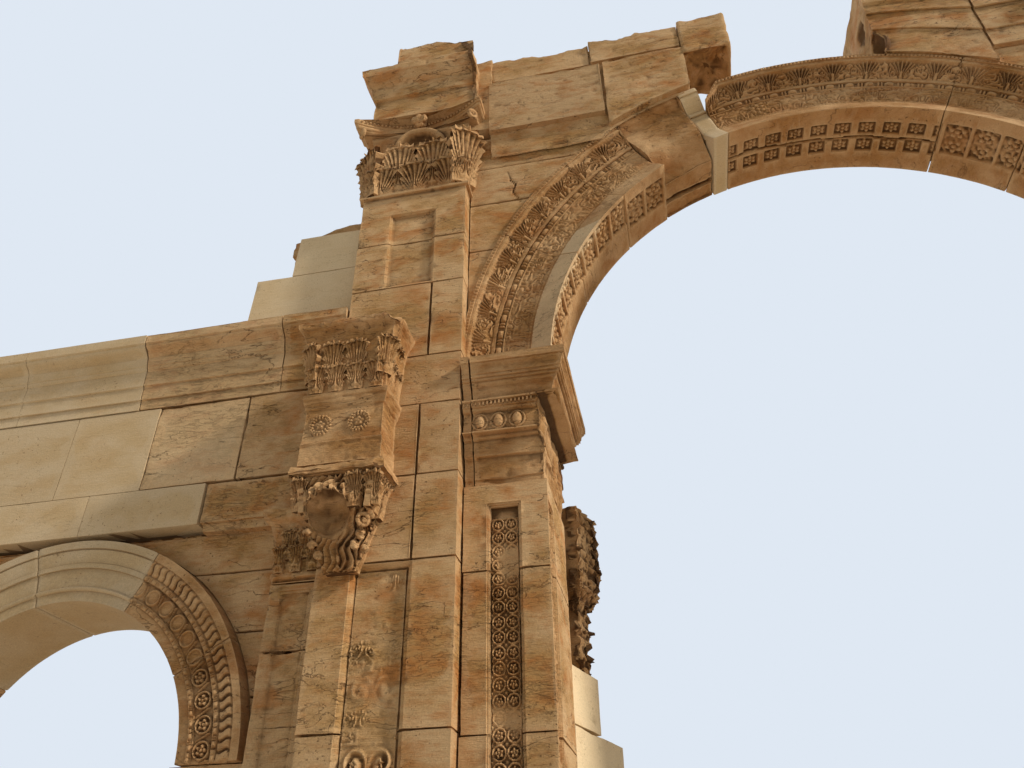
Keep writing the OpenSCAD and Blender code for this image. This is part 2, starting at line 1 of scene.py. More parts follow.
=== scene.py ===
# %% [markdown]
# # A ruined triumphal arch of carved limestone
# The frame holds the plain solids of every stone group at its real size. This script dresses each of
# them: it cuts the walls into blocks with open joints, carves the bands and leaves, and wears it all.

# %% Load the frame
import json
from math import atan, cos, degrees, pi, radians, sin

import bpy
import numpy as np
from mathutils import Matrix, Vector

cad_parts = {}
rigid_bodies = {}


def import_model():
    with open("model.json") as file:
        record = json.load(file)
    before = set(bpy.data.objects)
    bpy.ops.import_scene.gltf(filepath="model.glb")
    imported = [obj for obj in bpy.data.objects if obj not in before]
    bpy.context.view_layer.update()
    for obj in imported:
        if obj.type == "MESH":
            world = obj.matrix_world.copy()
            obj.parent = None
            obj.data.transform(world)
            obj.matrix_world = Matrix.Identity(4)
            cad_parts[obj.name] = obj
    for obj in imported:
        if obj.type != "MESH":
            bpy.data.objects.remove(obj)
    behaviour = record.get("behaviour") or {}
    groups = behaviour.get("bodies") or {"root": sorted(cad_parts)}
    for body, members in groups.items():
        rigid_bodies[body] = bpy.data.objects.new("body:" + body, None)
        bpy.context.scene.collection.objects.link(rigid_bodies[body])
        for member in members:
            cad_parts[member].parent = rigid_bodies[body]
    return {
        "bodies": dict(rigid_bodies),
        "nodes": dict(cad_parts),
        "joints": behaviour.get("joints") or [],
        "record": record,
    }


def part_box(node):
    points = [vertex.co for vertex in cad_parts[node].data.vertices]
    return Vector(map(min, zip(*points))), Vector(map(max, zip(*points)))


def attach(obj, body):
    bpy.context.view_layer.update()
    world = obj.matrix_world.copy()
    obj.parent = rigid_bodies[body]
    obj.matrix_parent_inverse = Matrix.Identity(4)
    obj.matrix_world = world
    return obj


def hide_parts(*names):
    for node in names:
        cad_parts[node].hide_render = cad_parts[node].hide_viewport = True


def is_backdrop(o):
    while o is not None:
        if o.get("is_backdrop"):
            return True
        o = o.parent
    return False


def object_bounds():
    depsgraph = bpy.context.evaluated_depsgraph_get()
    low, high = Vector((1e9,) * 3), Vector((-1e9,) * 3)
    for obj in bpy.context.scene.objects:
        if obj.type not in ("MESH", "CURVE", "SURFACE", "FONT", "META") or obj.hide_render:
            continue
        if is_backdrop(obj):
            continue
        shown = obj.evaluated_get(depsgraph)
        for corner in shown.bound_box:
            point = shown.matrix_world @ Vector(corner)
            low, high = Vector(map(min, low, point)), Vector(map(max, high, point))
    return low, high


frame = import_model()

cad_low, cad_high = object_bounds()
print("solids:", len(frame["nodes"]), "box:", [round(v, 2) for v in cad_high - cad_low])

# %% [markdown]
# ## Where things are
# The building is the same on both sides of the passage, so a stone is described by its distance q from
# the middle, its depth y behind the front of the arch, and its height z. A side of -1 is the left one.
# The limits of each part come from the frame's solids, so the dressing always fits them.

# %% Limits of the parts
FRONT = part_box("left_arch_pier")[0].y


def span(node):
    """Limits q0, q1, y0, y1, z0, z1 of a solid: q from the middle, y from the front plane of the arch."""
    low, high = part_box(node)
    q0, q1 = sorted((abs(low.x), abs(high.x)))
    return q0, q1, low.y - FRONT, high.y - FRONT, low.z, high.z


PIER_IN, GIANT_IN, _, PIER_BACK, PLINTH_TOP, IMPOST_Z = span("right_arch_pier")
_, GIANT_OUT, GIANT_Y, _, _, CAPITAL_Z = span("right_giant_pilaster")
SPRING_Z = span("right_impost")[5]
RING_OUT = span("main_arch_left_haunch")[1]
print("pier from", round(PIER_IN, 2), "to", round(GIANT_IN, 2), "springing at", round(SPRING_Z, 2))

# %% [markdown]
# ## The camera
# The photograph was taken from close by, at eye height, looking steeply up at the left haunch. Its
# place and turns were worked out from the arch's circle and its level joints.

# %% Camera at the photograph's place
EYE = Vector((-2.534, -7.297 + FRONT, 1.6))
YAW, PITCH, ROLL = radians(-10.99), radians(34.57), radians(-1.01)
look = Vector((sin(YAW) * cos(PITCH), cos(YAW) * cos(PITCH), sin(PITCH)))
level = Vector((cos(YAW), -sin(YAW), 0))
above = level.cross(look)
right = level * cos(ROLL) + above * sin(ROLL)
upward = -level * sin(ROLL) + above * cos(ROLL)
camera = bpy.data.objects.new("camera", bpy.data.cameras.new("camera"))
bpy.context.scene.collection.objects.link(camera)
camera.matrix_world = Matrix.Translation(EYE) @ Matrix((right, upward, -look)).transposed().to_4x4()
camera.data.sensor_width = 36
camera.data.lens = 28.16
bpy.context.scene.camera = camera
print("field of view:", round(degrees(2 * atan(18 / camera.data.lens)), 1), "degrees")

# %% [markdown]
# ## Noise
# Weathered stone is uneven at every size. A fixed table of random numbers, read between its entries
# with a smooth blend, gives the same soft cloud on every run, and it can be stretched: limestone wears
# fastest along its flat bedding layers, so the cloud for them is wide across and only 4 cm high.

# %% Soft clouds of numbers
TABLE_SIZE = 32
TABLE = np.random.default_rng(5).random((TABLE_SIZE,) * 3)
SEED_STEP = np.array([3.13, 7.71, 5.37])


def cloud(points, size, seed=0):
    """Soft noise from 0 to 1. A point's cell has eight random corners; they are blended by 3t^2 - 2t^3."""
    place = points / np.asarray(size) + SEED_STEP * seed
    cell = np.floor(place).astype(np.int64)
    t = place - cell
    t = t * t * (3 - 2 * t)
    total = np.zeros(points.shape[:-1])
    for corner in np.ndindex(2, 2, 2):
        share = np.prod(np.where(corner, t, 1 - t), -1)
        i, j, k = np.moveaxis((cell + corner) % TABLE_SIZE, -1, 0)
        total += share * TABLE[i, j, k]
    return total


def layers(points, size, seed=0, count=3):
    """Clouds on top of each other, each half as wide and half as strong as the one before; 0 to 1."""
    total = sum(cloud(points, np.asarray(size) / 2**k, seed + k) / 2**k for k in range(count))
    return total / sum(1 / 2**k for k in range(count))


print("cloud at the origin:", round(float(cloud(np.zeros((1, 3)), 1.0)[0]), 3))

# %% [markdown]
# ## Solids from loops
# A block, a cornice, a stretch of the arch and a leaf are all one kind of form: a closed loop of points
# carried along a path. Written as an array of loops, one function can close any of them into a solid.

# %% Skin a stack of loops
END_SHARES = (0.93, 0.5)


def skin(loops):
    """Points, quads and triangles of a closed solid. Neighbouring loops are joined by quads. At both ends
    the loop shrinks towards its middle in two steps and closes on a middle point."""
    middles = loops[[0, -1]].mean(1)
    ends = [np.array([middle + (loop - middle) * share for share in END_SHARES])
            for middle, loop in zip(middles, loops[[0, -1]])]
    stack = np.concatenate([ends[0][::-1], loops, ends[1]])
    n, m = stack.shape[:2]
    index = np.arange(n * m).reshape(n, m)
    quads = np.stack([index[:-1], np.roll(index[:-1], -1, 1), np.roll(index[1:], -1, 1), index[1:]], -1)
    foot = np.stack([np.roll(index[0], -1), index[0], np.full(m, n * m)], 1)
    head = np.stack([index[-1], np.roll(index[-1], -1), np.full(m, n * m + 1)], 1)
    points = np.concatenate([stack.reshape(-1, 3), middles])
    quads, tris = quads.reshape(-1, 4), np.concatenate([foot, head])
    fans = np.concatenate([quads[:, :3], quads[:, [0, 2, 3]], tris])
    a, b, c = (points[fans[:, k]] for k in range(3))
    if np.einsum("ij,ij->", a, np.cross(b, c)) < 0:
        quads, tris = quads[:, ::-1], tris[:, ::-1]
    return points, quads, tris


print("ends shrink to", END_SHARES)

# %% [markdown]
# ## Where the points lie
# Points are spaced evenly, with two more close to each end or corner, which keep an edge crisp when the
# surface is shaded smoothly.

# %% Even spacing with close ends
def ticks(length, cell, close=0.012):
    """Places from 0 to the length, about one cell apart, with two more near each end if cells are wide."""
    places = np.linspace(0, length, max(1, round(length / cell)) + 1)
    if cell > 3 * close and length > 8 * close:
        inner = places[(places > 3.5 * close) & (places < length - 3.5 * close)]
        near = np.array([0, close, 2.5 * close])
        places = np.concatenate([near, inner, length - near[::-1]])
    return places


def follow(corners, cell, close=0.006):
    """Points along a line through the given corners, one cell apart, close together beside each corner."""
    corners = np.asarray(corners, float)
    steps = np.linalg.norm(np.diff(corners, axis=0), axis=1)
    runs = [a + (b - a) * (ticks(step, cell, close) / step)[:-1, None]
            for a, b, step in zip(corners[:-1], corners[1:], steps) if step > 0]
    return np.concatenate([*runs, corners[-1:]])


def unit(values):
    """Values cut off below 0 and above 1."""
    return np.clip(values, 0, 1)


def placed(shape, foot, height, reach=1.0):
    """A profile that is drawn in shares of its reach and height, at its real size from its foot up."""
    return [(reach * r, foot + height * z) for r, z in shape]


print("places on 0.4 m:", ticks(0.4, 0.1).round(3))

# %% [markdown]
# ## Blocks and courses
# A course of mouldings is the block's plan rectangle, pushed outwards by the reach of the profile at
# each height. The loop's points keep their share of each side, so mouldings meet in true mitres. A plain
# block is a course without a profile, whose edges are rounded by an uneven radius.

# %% Courses and blocks
# Distances between points in metres: on a face that can't be seen, and on seen ones from near to far.
HIDDEN = 0.5
FINE, MEDIUM, COARSE = 0.028, 0.05, 0.16


def plan_loop(width, depth, cells, extra=((), (), (), ())):
    """Shares (a, b) of width and depth around a rectangle: front, right, back, left, one spacing each."""
    sides = []
    for length, cell, more in zip((width, depth, width, depth), cells, extra):
        places = np.unique(np.concatenate([ticks(length, cell), np.asarray(more, float)]).round(5))
        sides.append(places[(places >= 0) & (places < length - 1e-4)] / length)
    f, r, b, l = sides
    return np.concatenate([np.stack([f, 0 * f], 1), np.stack([1 + 0 * r, r], 1),
                           np.stack([1 - b, 1 + 0 * b], 1), np.stack([0 * l, 1 - l], 1)])


def course(plan, profile, cells, wraps=(1, 0, 1, 0), extra=((), (), (), ())):
    """Loops of a block with a profile of (reach, height). The plan is q0, q1, y0, y1, and wraps says
    which of its sides, front, right, back and left, are pushed out by the reach."""
    q0, q1, y0, y1 = plan
    share = plan_loop(q1 - q0, y1 - y0, cells, extra)
    reach, z = np.asarray(profile, float)[:, :, None].transpose(1, 0, 2)
    front, far, back, near = (reach * wrap for wrap in wraps)
    q = q0 - near + share[None, :, 0] * (q1 - q0 + near + far)
    y = y0 - front + share[None, :, 1] * (y1 - y0 + front + back)
    return np.stack([q, y, z + 0 * q], -1)


def block(limits, cells=(FINE, HIDDEN, COARSE, HIDDEN), edge=0.007, chips=6.0, seed=0, rise=None,
          extra=((), (), (), ()), extra_z=()):
    """Loops of a worn block: each point goes to its nearest place on the block shrunk by a radius, then out
    again by that radius. The radius follows a cloud, so some edges stay sharp and others are chipped."""
    q0, q1, y0, y1, z0, z1 = limits
    z = np.unique(np.concatenate([ticks(z1 - z0, rise or cells[0]),
                                  np.asarray(extra_z, float) - z0]).round(5))
    z = z0 + z[(z >= 0) & (z <= z1 - z0 + 1e-9)]
    loops = course((q0, q1, y0, y1), np.stack([0 * z, z], 1), cells, extra=extra)
    radius = edge * (0.6 + chips * unit(cloud(loops, 0.22, seed) - 0.55))[..., None]
    core = np.clip(loops, np.array([q0, y0, z0]) + radius, np.array([q1, y1, z1]) - radius)
    away = loops - core
    return core + away / np.maximum(np.linalg.norm(away, axis=-1, keepdims=True), 1e-9) * radius


print("loops and points of a block:", block((0, 1, 0, 1, 0, 1)).shape[:2])

# %% [markdown]
# ## Sunk windows and lost corners
# A panel is a window pushed into a face: a list of steps turns each point's distance from the window's edge
# into a depth. A lost corner is an uneven ball, and the points inside it move out to its surface.

# %% Sunk windows and scoops
def sink(loops, axis, plane, inward, window, steps):
    """Pushes the points of one face inwards inside a window, by (distance from its edge, depth) steps."""
    u, v = [loops[..., k] for k in range(3) if k != axis]
    inside = np.min([u - window[0], window[1] - u, v - window[2], window[3] - v], axis=0)
    distance, depth = np.asarray(steps, float).T
    moved = np.where(np.abs(loops[..., axis] - plane) < 0.03, np.interp(inside, distance, depth), 0)
    loops[..., axis] += inward * moved
    return loops


def edge_ticks(a, b, steps):
    """Places at each step's distance inside both ends of a stretch, so that a sunk edge stays crisp."""
    distance = np.asarray(steps)[:, 0]
    return np.concatenate([a + distance, b - distance])


def bite(loops, centre, radius, seed=0):
    """A rough scoop out of a stone: points inside an uneven ball are moved out to its surface."""
    away = loops - np.asarray(centre, float)
    size = np.linalg.norm(away, axis=-1, keepdims=True)
    reach = radius * (0.75 + 0.5 * layers(loops, 0.16, seed))[..., None]
    return np.where(size < reach, centre + away / np.maximum(size, 1e-6) * reach, loops)


print("places at one step:", edge_ticks(0, 1, [(0.02, 0.03)]))

# %% [markdown]
# ## Wear
# Limestone loses broad hollows, flat grooves along its beds, and small pits, each by its own cloud. Points
# only move inwards, so no stone grows out of its solid. A point's depth below its neighbours shows where
# grime gathers, and where shade is painted into the colour.

# %% Wear and hollows
BED_SIZE = (0.5, 0.5, 0.07)


def worn(points, normals, rough, bedding, pits):
    """Moves points inwards: broad hollows, flat bedding grooves and small pits, each from its own cloud."""
    broad = rough * layers(points, 0.45, 1) ** 2 * 1.8
    beds = 0.6 * bedding * layers(points, BED_SIZE, 4) * (0.3 + cloud(points, 0.7, 5))
    holes = pits * unit(cloud(points, (0.07, 0.07, 0.04), 6) - 0.7) * 3.3
    return points - normals * (broad + beds + holes)[:, None]


def hollows(points, normals, quads, rounds=7):
    """How far each point lies below its smoothed surroundings, in metres. One round of smoothing moves
    every point to the mean of its neighbours."""
    a, b = np.concatenate([quads[:, [k, (k + 1) % 4]] for k in range(4)]).T
    n = len(points)
    count = np.maximum(np.bincount(a, minlength=n) + np.bincount(b, minlength=n), 1)
    smooth = points
    for _ in range(rounds):
        smooth = np.stack([(np.bincount(a, smooth[b, k], n) + np.bincount(b, smooth[a, k], n)) / count
                           for k in range(3)], 1)
    return np.einsum("ij,ij->i", smooth - points, normals)


print("size of a bed:", BED_SIZE)

# %% [markdown]
# ## From loops to a finished piece
# Each piece joins its stones into one mesh and wears it. Three numbers are stored on every point for its
# colour: how deep it lies in a hollow, where crust and painted shade darken it; how much it faces down,
# where rain never washes the crust away and shade is painted as well; and the tone of its stone. Fine cells
# are only needed where something is carved, so a Decimate modifier then collapses edges where the stone is
# flat.

# %% One mesh with its colour numbers
KEPT_SHARE = 0.45
SHARP_ANGLE = radians(50)
added_triangles = {}


def make_piece(name, parts, finish, nodes, side=1, wear=(0.01, 0.012, 0.006)):
    """One mesh from a list of (loops, tone), worn by (rough, bedding, pits), with its colour numbers, riding
    on the building. Edges are collapsed where the stone is flat, until only the kept share is left."""
    skins = [skin(loops * (side, 1, 1) + (0, FRONT, 0)) for loops, _ in parts]
    starts = np.cumsum([0] + [len(p) for p, _, _ in skins])
    points = np.concatenate([p for p, _, _ in skins])
    quads = np.concatenate([q + s for (_, q, _), s in zip(skins, starts)])
    tris = np.concatenate([t + s for (_, _, t), s in zip(skins, starts)])
    tone = np.concatenate([tone(p) if callable(tone) else np.full(len(p), tone)
                           for (p, _, _), (_, tone) in zip(skins, parts)])
    mesh = bpy.data.meshes.new(name)
    mesh.vertices.add(len(points))
    mesh.vertices.foreach_set("co", points.ravel())
    corners = np.concatenate([quads.ravel(), tris.ravel()])
    mesh.loops.add(len(corners))
    mesh.loops.foreach_set("vertex_index", corners)
    firsts = np.concatenate([np.arange(len(quads)) * 4, len(quads) * 4 + np.arange(len(tris)) * 3])
    mesh.polygons.add(len(firsts))
    mesh.polygons.foreach_set("loop_start", firsts)
    mesh.update(calc_edges=True)
    normals = np.empty(len(points) * 3, np.float32)
    mesh.vertex_normals.foreach_get("vector", normals)
    normals = normals.reshape(-1, 3)
    points = worn(points, normals, *wear)
    mesh.vertices.foreach_set("co", points.ravel())
    mesh.shade_smooth()
    # Depth in a hollow (crust and painted shade), tone, and how much a point faces down (patina and painted
    # shade).
    numbers = {"hollow": hollows(points, normals, quads), "tone": tone, "downward_patina_and_shade": -normals[:, 2]}
    for word, values in numbers.items():
        mesh.attributes.new(word, "FLOAT", "POINT").data.foreach_set("value", values)
    mesh.update()
    piece = bpy.data.objects.new(name, mesh)
    bpy.context.scene.collection.objects.link(piece)
    piece.modifiers.new("thin", "DECIMATE").ratio = KEPT_SHARE
    graph = bpy.context.evaluated_depsgraph_get()
    mesh = bpy.data.meshes.new_from_object(piece.evaluated_get(graph), preserve_all_data_layers=True,
                                           depsgraph=graph)
    piece.modifiers.clear()
    piece.data = mesh
    mesh.set_sharp_from_angle(angle=SHARP_ANGLE)
    material, slot = finish
    mesh.materials.append(material)
    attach(piece, "root")
    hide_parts(*nodes)
    added_triangles[name] = sum(len(face.vertices) - 2 for face in mesh.polygons)
    return piece


def report(what):
    """Prints how many triangles have been added by now."""
    print(what, "done; triangles so far:", sum(added_triangles.values()))


print("kept share of the triangles:", KEPT_SHARE)

# %% [markdown]
# ## Colours and nodes
# A colour is written in sRGB, as a screen shows it, and turned to linear numbers. One small function adds a
# node, sets it and joins its inputs.

# %% Colours and nodes
MIX_A, MIX_B, MIX_OUT = 6, 7, 2


def from_hex(text):
    """An sRGB colour such as a0b0c0 as linear numbers, by the sRGB curve."""
    s = np.array([int(text[k:k + 2], 16) / 255 for k in (0, 2, 4)])
    return (*np.where(s <= 0.04045, s / 12.92, ((s + 0.055) / 1.055) ** 2.4), 1.0)


def add(tree, kind, inputs=None, **settings):
    """Adds one node with its settings; an input is either a value or the output that it is joined to."""
    node = tree.nodes.new(kind)
    for key, value in settings.items():
        setattr(node, key, value)
    for key, value in (inputs or {}).items():
        if isinstance(value, bpy.types.NodeSocket):
            tree.links.new(value, node.inputs[key])
        else:
            node.inputs[key].default_value = value
    return node


print("middle grey in linear numbers:", round(float(from_hex("808080")[0]), 3))

# %% [markdown]
# ## Limestone
# The building is one limestone in three states: the old ashlar, honey-coloured with a rain-washed
# face and brown beds; the carved and sheltered stones under a brown crust; and stones sawn for the
# restoration, which are pale and even. Rain leaves raised edges light. Hollows are dark with crust and with
# painted shade, and faces that look down take a brown stain with painted shade in it.

# %% Limestone in three states
PALE = "cdb996"


def limestone(name, washed, body, stain_and_shade, crust, relief_mm, age):
    """A stone from its own colours: rain-washed face, body, iron stains, which also paint shade on faces
    that look down, and the crust in its hollows, which also paints shade there. The age says how strong its
    stains, beds and cracks are. A crack is where a stretched noise passes 0.5."""
    stone = bpy.data.materials.new(name)
    stone.use_nodes = True
    tree = stone.node_tree
    shader = tree.nodes["Principled BSDF"]
    place = add(tree, "ShaderNodeTexCoord").outputs["Object"]

    def noise(size_mm, flatness=1.0, detail=4, rough=0.6, bend=0.0, shift=0.0):
        scale, location = (1, 1, flatness), (shift,) * 3
        at = add(tree, "ShaderNodeMapping", {"Vector": place, "Scale": scale, "Location": location})
        inputs = {"Vector": at.outputs[0], "Scale": 1000 / size_mm, "Detail": detail, "Roughness": rough,
                  "Distortion": bend}
        return add(tree, "ShaderNodeTexNoise", inputs).outputs["Fac"]

    def ramp(value, low, high, a=0.0, b=1.0):
        inputs = {"Value": value, "From Min": low, "From Max": high, "To Min": a, "To Max": b}
        return add(tree, "ShaderNodeMapRange", inputs).outputs["Result"]

    def blend(share, a, b):
        return add(tree, "ShaderNodeMix", {0: share, MIX_A: a, MIX_B: b}, data_type="RGBA").outputs[MIX_OUT]

    def maths(kind, *values):
        return add(tree, "ShaderNodeMath", dict(enumerate(values)), operation=kind).outputs[0]

    def line(value, width):
        return ramp(maths("ABSOLUTE", maths("SUBTRACT", value, 0.5)), 0, width, 1, 0)

    patches, beds, grain = noise(900, 1.6, 5), noise(320, 5, 6, 0.66, 0.3), noise(16, 1, 4, 0.75)
    cracks = maths("MULTIPLY", line(noise(700, 3.2, 5, 0.55, 0.5, 7.0), 0.007),
                   ramp(noise(900, 1, 2, 0.5, 0, 3.0), 0.47, 0.56))
    wrinkles = maths("MULTIPLY", line(noise(200, 4.5, 4, 0.6, 0.8, 5.0), 0.03), ramp(patches, 0.44, 0.62))
    pits = maths("MULTIPLY", ramp(noise(34, 1.4, 2, 0.5, 0, 2.0), 0.64, 0.72),
                 ramp(noise(500, 1, 3, 0.6, 0, 8.0), 0.48, 0.6))
    hollow, tone, downward_patina_and_shade = (add(tree, "ShaderNodeAttribute", attribute_name=key).outputs["Fac"]
                             for key in ("hollow", "tone", "downward_patina_and_shade"))
    base = blend(ramp(patches, 0.4, 0.6), from_hex(washed), from_hex(body))
    base = blend(ramp(noise(520, 1.8, 4, 0.6, 0.4, 11.0), 0.5, 0.66, 0, 0.75 * age), base, from_hex(stain_and_shade))
    base = blend(ramp(beds, 0.5, 0.7, 0, 0.45 * age), base, from_hex(stain_and_shade))
    base = blend(ramp(tone, 0.06, 0.2, 0, 0.75), base, from_hex(PALE))
    # Patina and painted shade: faces that look down take the stain colour, as if shaded under a ledge.
    base = blend(ramp(downward_patina_and_shade, 0.25, 0.9, 0, 0.4), base, from_hex(stain_and_shade))
    # Crust and painted shade: points that lie in a hollow take the crust colour.
    base = blend(ramp(hollow, 0.001, 0.015, 0, 0.84), base, from_hex(crust))
    base = blend(ramp(hollow, -0.001, -0.008, 0, 0.5), base, from_hex(washed))
    lines = maths("MULTIPLY", maths("MAXIMUM", cracks, maths("MULTIPLY", wrinkles, 0.45)), age)
    base = blend(maths("MULTIPLY", maths("MAXIMUM", lines, pits), 0.75), base, from_hex(crust))
    lightness = maths("ADD", ramp(grain, 0.3, 0.7, 0.84, 1.14), tone)
    base = add(tree, "ShaderNodeHueSaturation", {"Color": base, "Value": lightness}).outputs["Color"]
    strata = noise(90, 7, 3, 0.6, 0.2, 13.0)
    height = maths("MULTIPLY_ADD", strata, 0.7, maths("MULTIPLY", grain, 0.5))
    height = maths("MULTIPLY_ADD", beds, 0.9, height)
    height = maths("MULTIPLY_ADD", lines, -0.7, maths("MULTIPLY_ADD", pits, -0.5, height))
    bump = add(tree, "ShaderNodeBump", {"Height": height, "Distance": relief_mm / 1000, "Strength": 1.0})
    tree.links.new(base, shader.inputs["Base Color"])
    tree.links.new(bump.outputs["Normal"], shader.inputs["Normal"])
    shader.inputs["Roughness"].default_value = 0.92
    shader.inputs["Specular IOR Level"].default_value = 0.25
    return stone


# Split and dressed by hand, then weathered: honey patches, brown beds, rough to the touch.
ashlar = (limestone("weathered limestone ashlar", "c9a67a", "b28a56", "ad6f36", "523517", 15, 1.0),
          "old_limestone")
# Carved and sheltered from rain: a little darker, with a nearly black crust and painted shade in every
# drilled hole.
carved = (limestone("carved limestone under a brown crust", "c49e71", "a57a49", "9a6331", "452b13", 13, 0.8),
          "dark_limestone")
# Cut by a saw: pale, even and almost smooth.
sawn = (limestone("new sawn limestone", "cbb491", "c3a87f", "b8925f", "7c5f3f", 4, 0.35), "new_limestone")
print("finishes:", [material.name for material, _ in (ashlar, carved, sawn)])

# %% [markdown]
# ## Carved patterns as heights
# A carved band is a plain moulding plus a height that repeats along it. Each pattern here is a formula
# of two places, u along the band in metres and v across it from 0 to 1, and gives a height from 0 to 1.

# %% Patterns that repeat along a band
def arc(x):
    """A round back: the height of a half circle over -1 to 1, and 0 outside it."""
    return np.sqrt(unit(1 - x**2))


def repeat(u, pitch):
    """Place inside one repeat, from -1 to 1 around its middle."""
    return 2 * ((u / pitch) % 1) - 1


def beads(u, v, pitch=0.24):
    """One long bead and two thin discs in each repeat, each a half circle along and across the rod."""
    x = repeat(u, pitch)
    discs = 0.9 * np.maximum(arc((x - 0.42) / 0.13), arc((x - 0.76) / 0.13))
    along = np.maximum(arc((x + 0.3) / 0.5), discs)
    return along * arc(2 * v - 1)


def teeth(u, v, pitch=0.05):
    """A row of small upright leaves: half circles along the band, cut off by deep slots."""
    return arc(repeat(u, pitch) / 0.78) * arc(1.15 * (v - 0.1) - 0.5)


print("height of a bead:", beads(0.06, 0.5))

# %% [markdown]
# ## Carved foliage
# Palmettes and leaves are ridges, drawn by a cosine; foliage too worn to read is the ridges of a cloud.

# %% Palmettes and leaves
def sheet(u, v):
    """Points (u, v, 0), as the clouds want them."""
    return np.stack([u, v, 0 * u], -1)


def tangle(u, v, size, seed):
    """Tangled foliage: ridges along the lines of equal height of a cloud, like the lines of a map."""
    place = sheet(u, v)
    return 0.5 + 0.5 * np.cos(8 * pi * cloud(place, size, seed) + 3 * cloud(place, 0.4 * size, seed + 1))


def fans(u, v, pitch=0.4, width=0.28, seed=0):
    """Palmettes: thin ribs leave the foot of each repeat, bend outwards like a fountain and end in round
    tips. A rib is where the place across, divided by a power of the height, has one of a few even values."""
    x, y = repeat(u, pitch), v
    share = x / (0.13 + 0.9 * unit(y) ** 1.35)
    edge = np.abs(share)
    fingers = np.cos(2 * pi * 4 * share * (1 - 0.12 * edge))
    rib = unit(1.5 * fingers - 0.2) ** 0.8
    reach = np.hypot(0.72 * x, y)
    inside = unit((0.97 - reach) * 14) * (edge < 1.06)
    rib = np.maximum(rib * unit(4 * y - 0.5), 0.8 * arc(x / 0.1) * (y < 0.4))
    tips = arc((reach - 0.93) / 0.06) * unit(2 * fingers) * (edge < 1.06)
    return np.maximum.reduce([rib * inside, tips, 0.85 * tangle(u, v * width, 0.075, seed) * (edge > 1.02)])


def leaf_stream(u, v, pitch=0.15, slant=0.16):
    """Worn leaves that lie over each other along the band: slanted ridges, cut into fingers and broken by
    the ridges of a cloud."""
    saw = ((u + slant * v + 0.01 * np.sin(14 * pi * v)) / pitch) % 1
    leaves = unit(1.3 * saw) * (1 - unit((saw - 0.8) / 0.2))
    leaves = leaves * (0.6 + 0.4 * np.cos(12 * pi * v))
    return 0.35 * leaves + 0.65 * tangle(u, v * 0.28, 0.085, 17)


print("height of foliage:", tangle(0.2, 0.5, 0.1, 0).round(2))

# %% [markdown]
# ## Flowers and rings
# A flower is written by the distance and the angle from its middle. The linked rings of the side arch hold
# a flower each; further up only plain discs are left.

# %% Flowers, tongues and rings
def rosette(a, b, petals=5, turn=0.0):
    """A flower over -1 to 1 both ways: petals by the cosine of the angle, a button in the middle."""
    reach, angle = np.hypot(a, b), np.arctan2(a, b) + turn
    edge = 0.8 + 0.16 * np.cos(petals * angle)
    petal = unit((edge - reach) * 7) * (0.45 + 0.55 * arc((reach - 0.55) / 0.5))
    cleft = 1 - 0.5 * unit(-np.cos(petals * angle)) ** 2
    return np.maximum(petal * cleft, 1.1 * arc(reach / 0.26)) * (1 - 0.65 * arc((reach - 0.33) / 0.09))


def tongues(u, v, pitch=0.088):
    """S-shaped tongues side by side: the row is bent by a sine across the band."""
    x = repeat(u + 0.011 * np.sin(2 * pi * v), pitch)
    return unit(1.25 * arc(x / 0.8) - 0.3 * unit(1 - np.abs(x) / 0.25))


def linked_rings(u, v, pitch=0.235, width=0.2, plain_from=0.94):
    """Rings joined by S-curves, with a flower in each, or a plain disc further on; the strands follow a
    sine."""
    x, y = repeat(u, pitch), 2 * v - 1
    across = x * pitch / width
    reach = np.hypot(across, y)
    ring_line = arc((reach - 0.8) / 0.13)
    strand = arc((y - 0.9 * np.sin(pi * (x + 1))) / 0.2) * (np.abs(x) > 0.72)
    flower = np.where(u < plain_from, rosette(across / 0.66, y / 0.66), 0.45 * arc(reach))
    return np.maximum.reduce([0.9 * ring_line, 0.9 * strand, flower])


def scroll_leaves(u, v, seed):
    """Foliage of a drilled band: curls of two crossing waves, broken up by a cloud."""
    p = sheet(u, v * 0.2)
    wave = np.sin(2 * pi * u / 0.24 + 2.5 * np.sin(2 * pi * v + 2 * pi * u / 0.24))
    return unit(0.55 + 0.6 * wave * np.sin(pi * v) + 1.2 * (cloud(p, 0.035, seed) - 0.5))


print("height of a flower's button:", rosette(0, 0).round(2))

# %% [markdown]
# ## The main arch
# The ring is a section carried along a half circle. Its front is a shallow V: from a row of small leaves at
# the rim a frieze of palmettes leads back to a bead moulding, a band of worn leaves lies deepest, and a
# plain slope comes forward again to the lip. The ring's width and depth come from the frame.

# %% Section of the ring and one stretch of it
HAUNCH_R, SHOULDER_R, NEW_R, NEW_L, BROKEN_L, SHOULDER_L = (radians(a)
                                                            for a in (46, 62, 106, 109.5, 122, 134))
CROWN_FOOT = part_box("main_arch_crown")[0].z - SPRING_Z
RING_R = CROWN_FOOT / sin(SHOULDER_R)
RING_W = RING_OUT - RING_R
DIP, LIP = 0.18, 0.02
RING_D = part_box("main_arch_crown")[1].y - FRONT
print("ring radius", round(RING_R, 3), "width", round(RING_W, 3), "depth", round(RING_D, 3))


